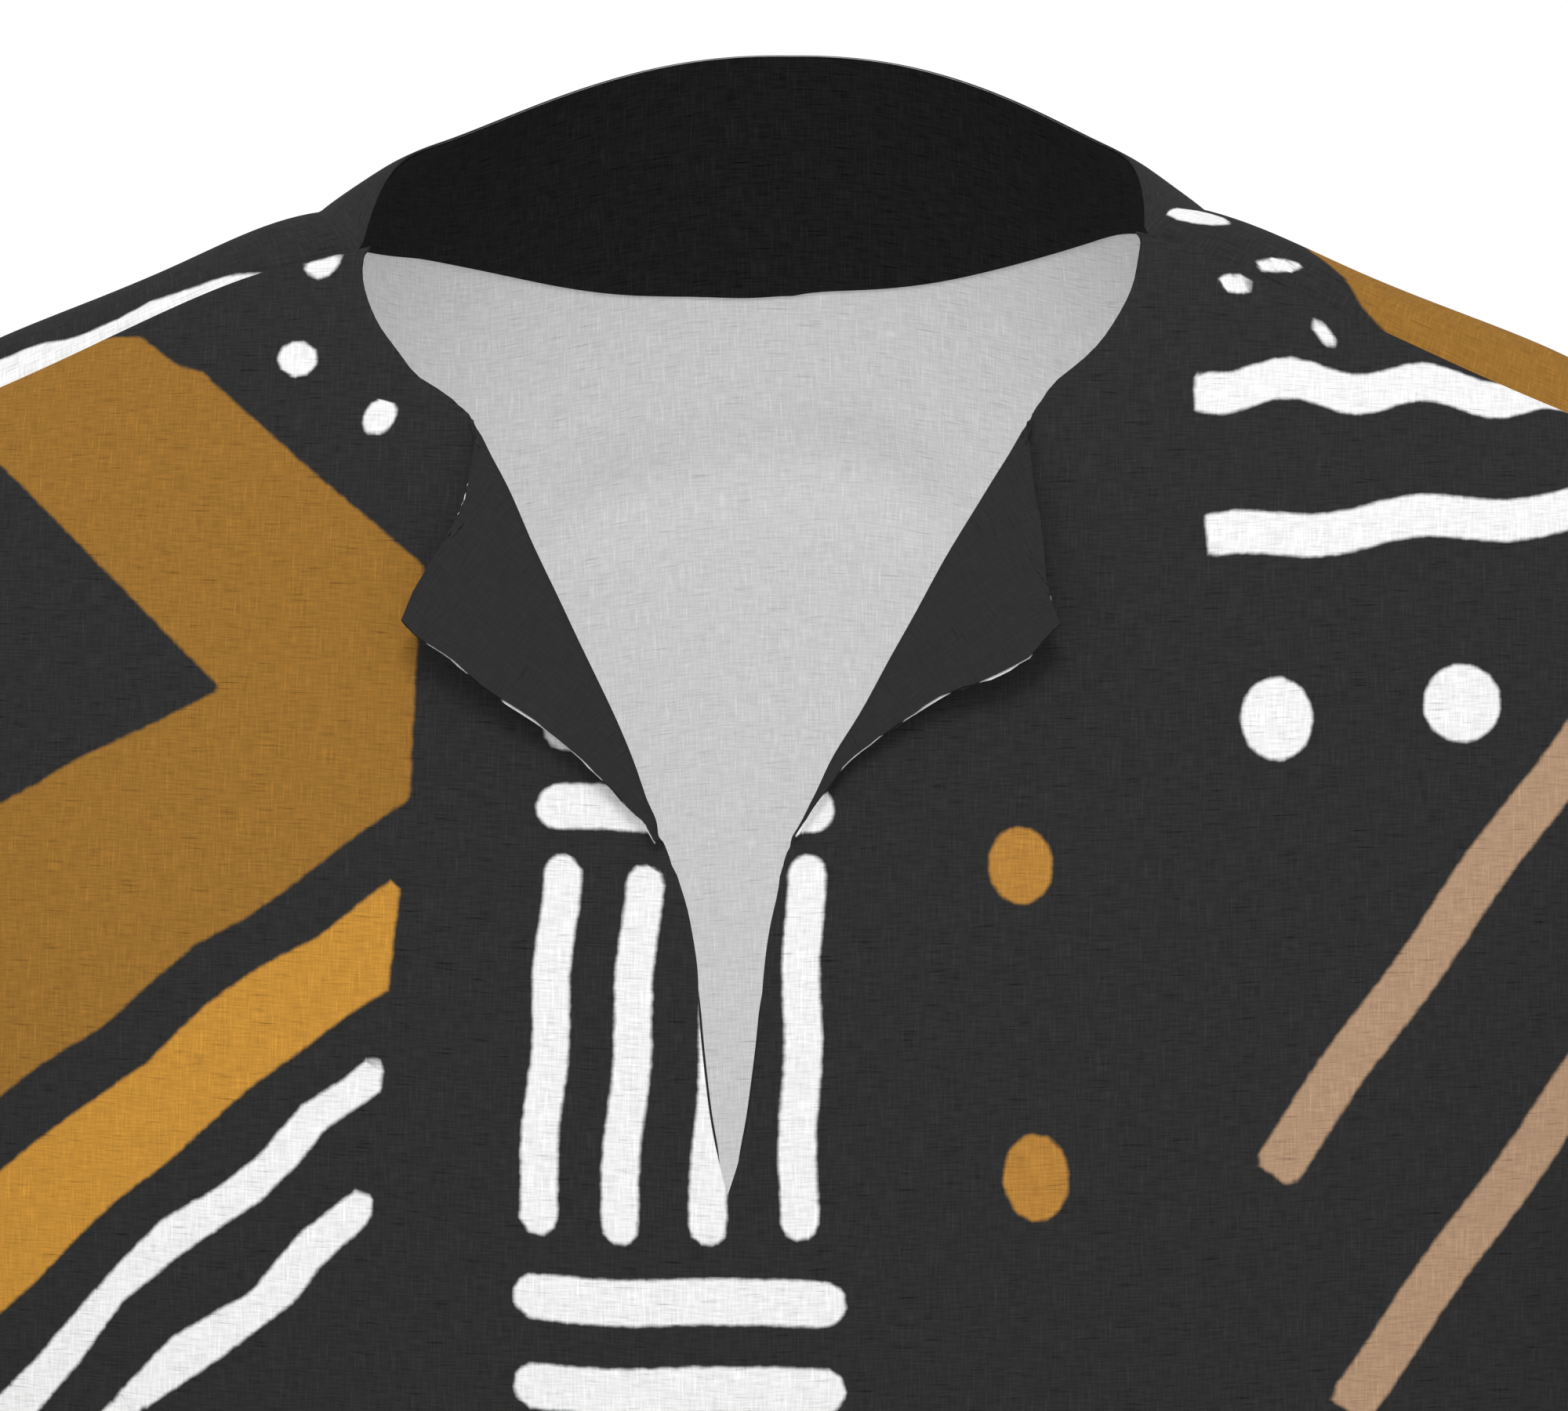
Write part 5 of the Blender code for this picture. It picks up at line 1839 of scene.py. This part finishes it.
@dataclass
class Sleeve:
    """A straight wide sleeve from the armhole to an open cuff above the elbow.

    Attributes:
        side: Its side.
        front: The front that it is sewn to.
        back: The back that it is sewn to.
        columns: Columns round it.
        edge_parts: First rings, as parts of its length.
        rings: Its other rings.
        round: Width of its flat cloth.
        slope_deg: Slope of its axis.
        cuff_middle: Middle of the cuff of the left sleeve.
        cuff_half_height: Half its height.
        cuff_half_depth: Half its depth.
        cuff_forward: How far the axis leans to the back, as a part of its length.
        shoulder_leave: Direction in which the cloth leaves the left shoulder.
        start_handle: How long it keeps the direction in which it leaves the armhole.
        end_handle: How long it keeps the direction in which it reaches the cuff.
        folds: Large folds: turn, start, end, depth, half width.
        fold_growth: Part of the length over which a fold grows.
        crease_from: Distance from the armhole over which the creases grow.
    """

    side: int
    front: Front
    back: Back
    columns: int = 200
    edge_parts: tuple[float, ...] = (0.0, 0.003, 0.008, 0.016, 0.03)
    rings: int = 74
    round: float = 480.0
    slope_deg: float = 58.0
    cuff_middle: Place = (372.0, -6.0, -396.0)
    cuff_half_height: float = 80.0
    cuff_half_depth: float = 57.0
    cuff_forward: float = -0.02
    shoulder_leave: Place = (0.86, 0.0, -0.51)
    start_handle: float = 0.35
    end_handle: float = 0.3
    folds: Table = (
        (0.14, 0.25, 1.0, 3.5, 0.05),
        (0.3, 0.05, 0.8, -4.0, 0.055),
        (0.44, 0.1, 1.0, 4.5, 0.05),
        (0.6, 0.05, 0.85, -4.0, 0.055),
        (0.8, 0.2, 1.0, 3.5, 0.055),
    )
    fold_growth: float = 0.4
    crease_from: float = 30.0

    def __post_init__(self) -> None:
        """Builds the sheet."""
        self.turn = np.arange(self.columns) / self.columns
        self.part = spaced(self.edge_parts, 1.0, self.rings)
        rings = self._rings()
        length = run_lengths(rings)
        flat = np.stack([np.broadcast_to(self.turn * self.round, length.shape), -length], -1)
        outward = unit(rings - rings.mean(axis=1, keepdims=True))
        push = self._folds() + crease_push(flat, Cloth.SLEEVE) * smooth_step(0.0, self.crease_from, length)
        rings = rings + outward * (push - seam_dip(length))[..., None]
        rings = np.concatenate([rings, rings[:, :1]], axis=1)
        flat = np.concatenate([flat, flat[:, :1] + (self.round, 0.0)], axis=1)
        ids = point_numbers(rings.shape)
        faces = grid_faces(ids, self.side == LEFT)
        points = rings.reshape(-1, 3)
        normals = sheet_normals(points, faces)
        normals[ids[:, 0]] = normals[ids[:, -1]] = unit(normals[ids[:, 0]] + normals[ids[:, -1]])
        self.sheet = Sheet(points, faces, flat.reshape(-1, 2), normals)

    def _armhole(self) -> Array:
        """The armhole at even distances, from the shoulder seam down the front and up the back.

        Returns:
            A point for each column.
        """
        front_down = np.append(self.front.down[: len(self.front.height)], 1.0)
        back_down = self.back.down[:, 0]
        back_down = back_down[: int(np.flatnonzero(back_down <= 1.0)[-1])]
        front = body_point(np.full_like(front_down, self.side), front_down, Cloth.FRONT)
        back = body_point(np.full_like(back_down, self.side), back_down, Cloth.BACK)
        loop = np.concatenate([front, back[-1:0:-1], front[:1]])
        length = run_lengths(loop)
        at = np.linspace(0.0, length[-1], self.columns + 1)[:-1]
        return np.stack([np.interp(at, length, loop[:, k]) for k in range(3)], -1)

    def _cuff(self) -> Array:
        """The free end, from its top through the front.

        Returns:
            A point for each column.
        """
        slope = np.radians(self.slope_deg)
        rise = np.array([np.sin(slope), 0.0, np.cos(slope)])
        front = np.array([0.0, -1.0, 0.0])
        angle = 2.0 * np.pi * self.turn[:, None]
        loop = np.array(self.cuff_middle) + rise * self.cuff_half_height * np.cos(angle)
        return (loop + front * self.cuff_half_depth * np.sin(angle)) * (self.side, 1.0, 1.0)

    def _rings(self) -> Array:
        """Rings of the smooth sleeve between the armhole and the cuff.

        Returns:
            A grid of points, with a row for each ring.
        """
        start, end = self._armhole(), self._cuff()
        slope = np.radians(self.slope_deg)
        axis = np.array([self.side * np.cos(slope), self.cuff_forward, -np.sin(slope)])
        shoulder = np.array(self.shoulder_leave) * (self.side, 1.0, 1.0)
        top_share = (0.5 + 0.5 * np.cos(2.0 * np.pi * self.turn))[:, None]
        leave = unit(axis * (1.0 - top_share) + shoulder * top_share)
        span = np.linalg.norm(end - start, axis=1, keepdims=True)
        handles = (
            start[None],
            (start + leave * span * self.start_handle)[None],
            (end - axis * span * self.end_handle)[None],
            end[None],
        )
        return bezier(handles, np.repeat(self.part[:, None], self.columns, 1))

    def _folds(self) -> Array:
        """How far the large folds push the cloth out.

        Returns:
            Push in millimetres for each point of the rings.
        """
        push = np.zeros((len(self.part), self.columns))
        for place, first, last, depth, half_width in self.folds:
            gap = np.abs(self.turn - place)
            gap = np.minimum(gap, 1.0 - gap)
            along = smooth_step(first, min(first + self.fold_growth, last), self.part)
            push += depth * along[:, None] * np.exp(-((gap / half_width) ** 2))[None]
        return push


# ---------------------------------------------------------------- the shirt


@dataclass
class Shirt:
    """Every piece of the shirt and its finish."""

    finish: Finish = Finish()

    def build(self) -> None:
        """Makes and dresses every piece, parents it to the root body and hides the imported part that it
        stands for.
        """
        palette = self.finish.palette
        outside = self.finish.printed("printed_linen")
        inside = self.finish.plain("unprinted_linen", palette.inside)
        facing = self.finish.plain("facing_linen", palette.facing)
        # The neck facing's material carries painted shade: its darkened charcoal stands in for the shade
        # inside the back of the neck.
        neck_facing = self.finish.plain("neck_facing_painted_shade_linen", palette.neck_facing)
        cloths = (outside, inside)
        front, back = Front(), Back()
        inks = FRONT_PRINT.distances(front.sheet.flat)
        front.dash_edges(inks)
        self._add(Cut("front_panel", "front", 0.62, 0.80), front.sheet, cloths, inks)
        inks = BACK_PRINT.distances(back.sheet.flat)
        self._add(Cut("back_panel", "back", 0.62, 0.86), back.sheet, cloths, inks)
        for side, name in ((RIGHT, "right"), (LEFT, "left")):
            sheet = Sleeve(side, front, back).sheet
            inks = SLEEVE_PRINT.distances(sheet.flat)
            self._add(Cut(name + "_sleeve", "sleeve_" + name, 0.50, 0.26), sheet, cloths, inks)
            cut = Cut(name + "_slit_facing", "slit_facing_" + name, 0.10, 0.25, FACING_CLOTH)
            self._add(cut, front.facing(side), (facing,))
        cut = Cut("neck_facing", "back_neck_facing", 0.35, 0.08, FACING_CLOTH)
        self._add(cut, back.facing(), (neck_facing,))

    @staticmethod
    def _add(cut: Cut, sheet: Sheet, materials: tuple, inks: Inks | None = None) -> None:
        """Makes one piece, parents it to the root body and hides the imported part that it stands for.

        Args:
            cut: What the piece is.
            sheet: Its sheet.
            materials: Material of its outside, and of its inside if it has its own.
            inks: Signed distance of each point to each ink, or None.
        """
        piece = make_cloth(cut, sheet, materials, inks)
        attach(piece, "root")
        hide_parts(cut.node)


# ---------------------------------------------------------------- studio


@dataclass(frozen=True)
class SoftLight:
    """A large soft light.

    Attributes:
        name: Its name.
        place: Its place, in metres.
        target: Where it points, in metres.
        width: Its width, in metres.
        height: Its height, in metres.
        power: Its power, in watts.
    """

    name: str
    place: Place
    target: Place
    width: float
    height: float
    power: float


def aimed(name: str, data: bpy.types.ID, place: Place, target: Place) -> bpy.types.Object:
    """A camera or a light at a place, pointed at a target.

    Args:
        name: Its name.
        data: The camera or the light.
        place: Its place, in metres.
        target: Where it points, in metres.

    Returns:
        The object.
    """
    made = bpy.data.objects.new(name, data)
    made.location = place
    aim = Vector(target) - Vector(place)
    made.rotation_euler = aim.to_track_quat("-Z", "Y").to_euler()
    bpy.context.scene.collection.objects.link(made)
    return made


@dataclass(frozen=True)
class Studio:
    """Camera, light and floor.

    Attributes:
        camera_place: Place of the camera, in metres.
        camera_target: Where it points, in metres.
        lens: Its focal length, in millimetres.
        sensor: Width of its sensor, in millimetres.
        surround: Strength of the light from all round.
        backdrop: Strength with which the camera sees it.
        lights: The lights.
        floor_half: Half the floor's side, in metres.
        floor_drop: How far it lies below the hem, in metres.
        floor_grey: Its grey.
        floor_roughness: Its roughness.
    """

    camera_place: Place = (0.16035, -1.93463, 0.07036)
    camera_target: Place = (0.00881, -0.05113, -0.12824)
    lens: float = 180.0
    sensor: float = 36.0
    surround: float = 0.70
    backdrop: float = 1.02
    lights: tuple[SoftLight, ...] = (
        SoftLight("key", (0.1, -2.0, 2.2), (0.0, 0.0, -0.15), 1.0, 1.0, 32.0),
        SoftLight("inner_fill", (0.0, -0.02, -0.27), (0.0, 1.0, -0.27), 0.30, 0.46, 0.37),
    )
    floor_half: float = 2.2
    floor_drop: float = 0.02
    floor_grey: float = 0.85
    floor_roughness: float = 0.9

    def build(self) -> None:
        """Makes the studio."""
        self._camera()
        self._surround()
        for light in self.lights:
            self._light(light)
        self._floor()
        scene = bpy.context.scene
        scene.view_settings.view_transform = "Standard"
        scene.view_settings.look = "None"

    def _camera(self) -> None:
        """The camera, in front and a little to the wearer's left."""
        data = bpy.data.cameras.new("view")
        data.lens = self.lens
        data.sensor_width = self.sensor
        data.sensor_fit = "HORIZONTAL"
        bpy.context.scene.camera = aimed("view", data, self.camera_place, self.camera_target)

    def _surround(self) -> None:
        """Even white light from all round."""
        world = bpy.data.worlds.new("studio")
        world.use_nodes = True
        tree = world.node_tree
        background = tree.nodes["Background"]
        background.inputs["Color"].default_value = (1.0, 1.0, 1.0, 1.0)
        path = tree.nodes.new("ShaderNodeLightPath")
        mix = tree.nodes.new("ShaderNodeMix")
        mix.inputs["A"].default_value = self.surround
        mix.inputs["B"].default_value = self.backdrop
        tree.links.new(path.outputs["Is Camera Ray"], mix.inputs["Factor"])
        tree.links.new(mix.outputs["Result"], background.inputs["Strength"])
        bpy.context.scene.world = world

    @staticmethod
    def _light(light: SoftLight) -> None:
        """Adds one light, which the camera doesn't see.

        Args:
            light: The light.
        """
        data = bpy.data.lights.new(light.name, "AREA")
        data.shape = "RECTANGLE"
        data.size = light.width
        data.size_y = light.height
        data.energy = light.power
        aimed(light.name, data, light.place, light.target).visible_camera = False

    def _floor(self) -> None:
        """A plain pale floor below the hem."""
        half, height = self.floor_half, HEM_Z * MM - self.floor_drop
        corners = [(half * x, half * y, height) for x, y in ((-1, -1), (1, -1), (1, 1), (-1, 1))]
        mesh = bpy.data.meshes.new("floor")
        mesh.from_pydata(corners, [], [(0, 1, 2, 3)])
        material = bpy.data.materials.new("floor")
        material.use_nodes = True
        shader = material.node_tree.nodes["Principled BSDF"]
        shader.inputs["Base Color"].default_value = (*[self.floor_grey] * 3, 1.0)
        shader.inputs["Roughness"].default_value = self.floor_roughness
        mesh.materials.append(material)
        floor = bpy.data.objects.new("floor", mesh)
        bpy.context.scene.collection.objects.link(floor)


def main() -> None:
    """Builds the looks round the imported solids."""
    logging.basicConfig(level=logging.INFO, format="%(message)s")
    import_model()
    Studio().build()
    Shirt().build()


if __name__ == "__main__":
    main()
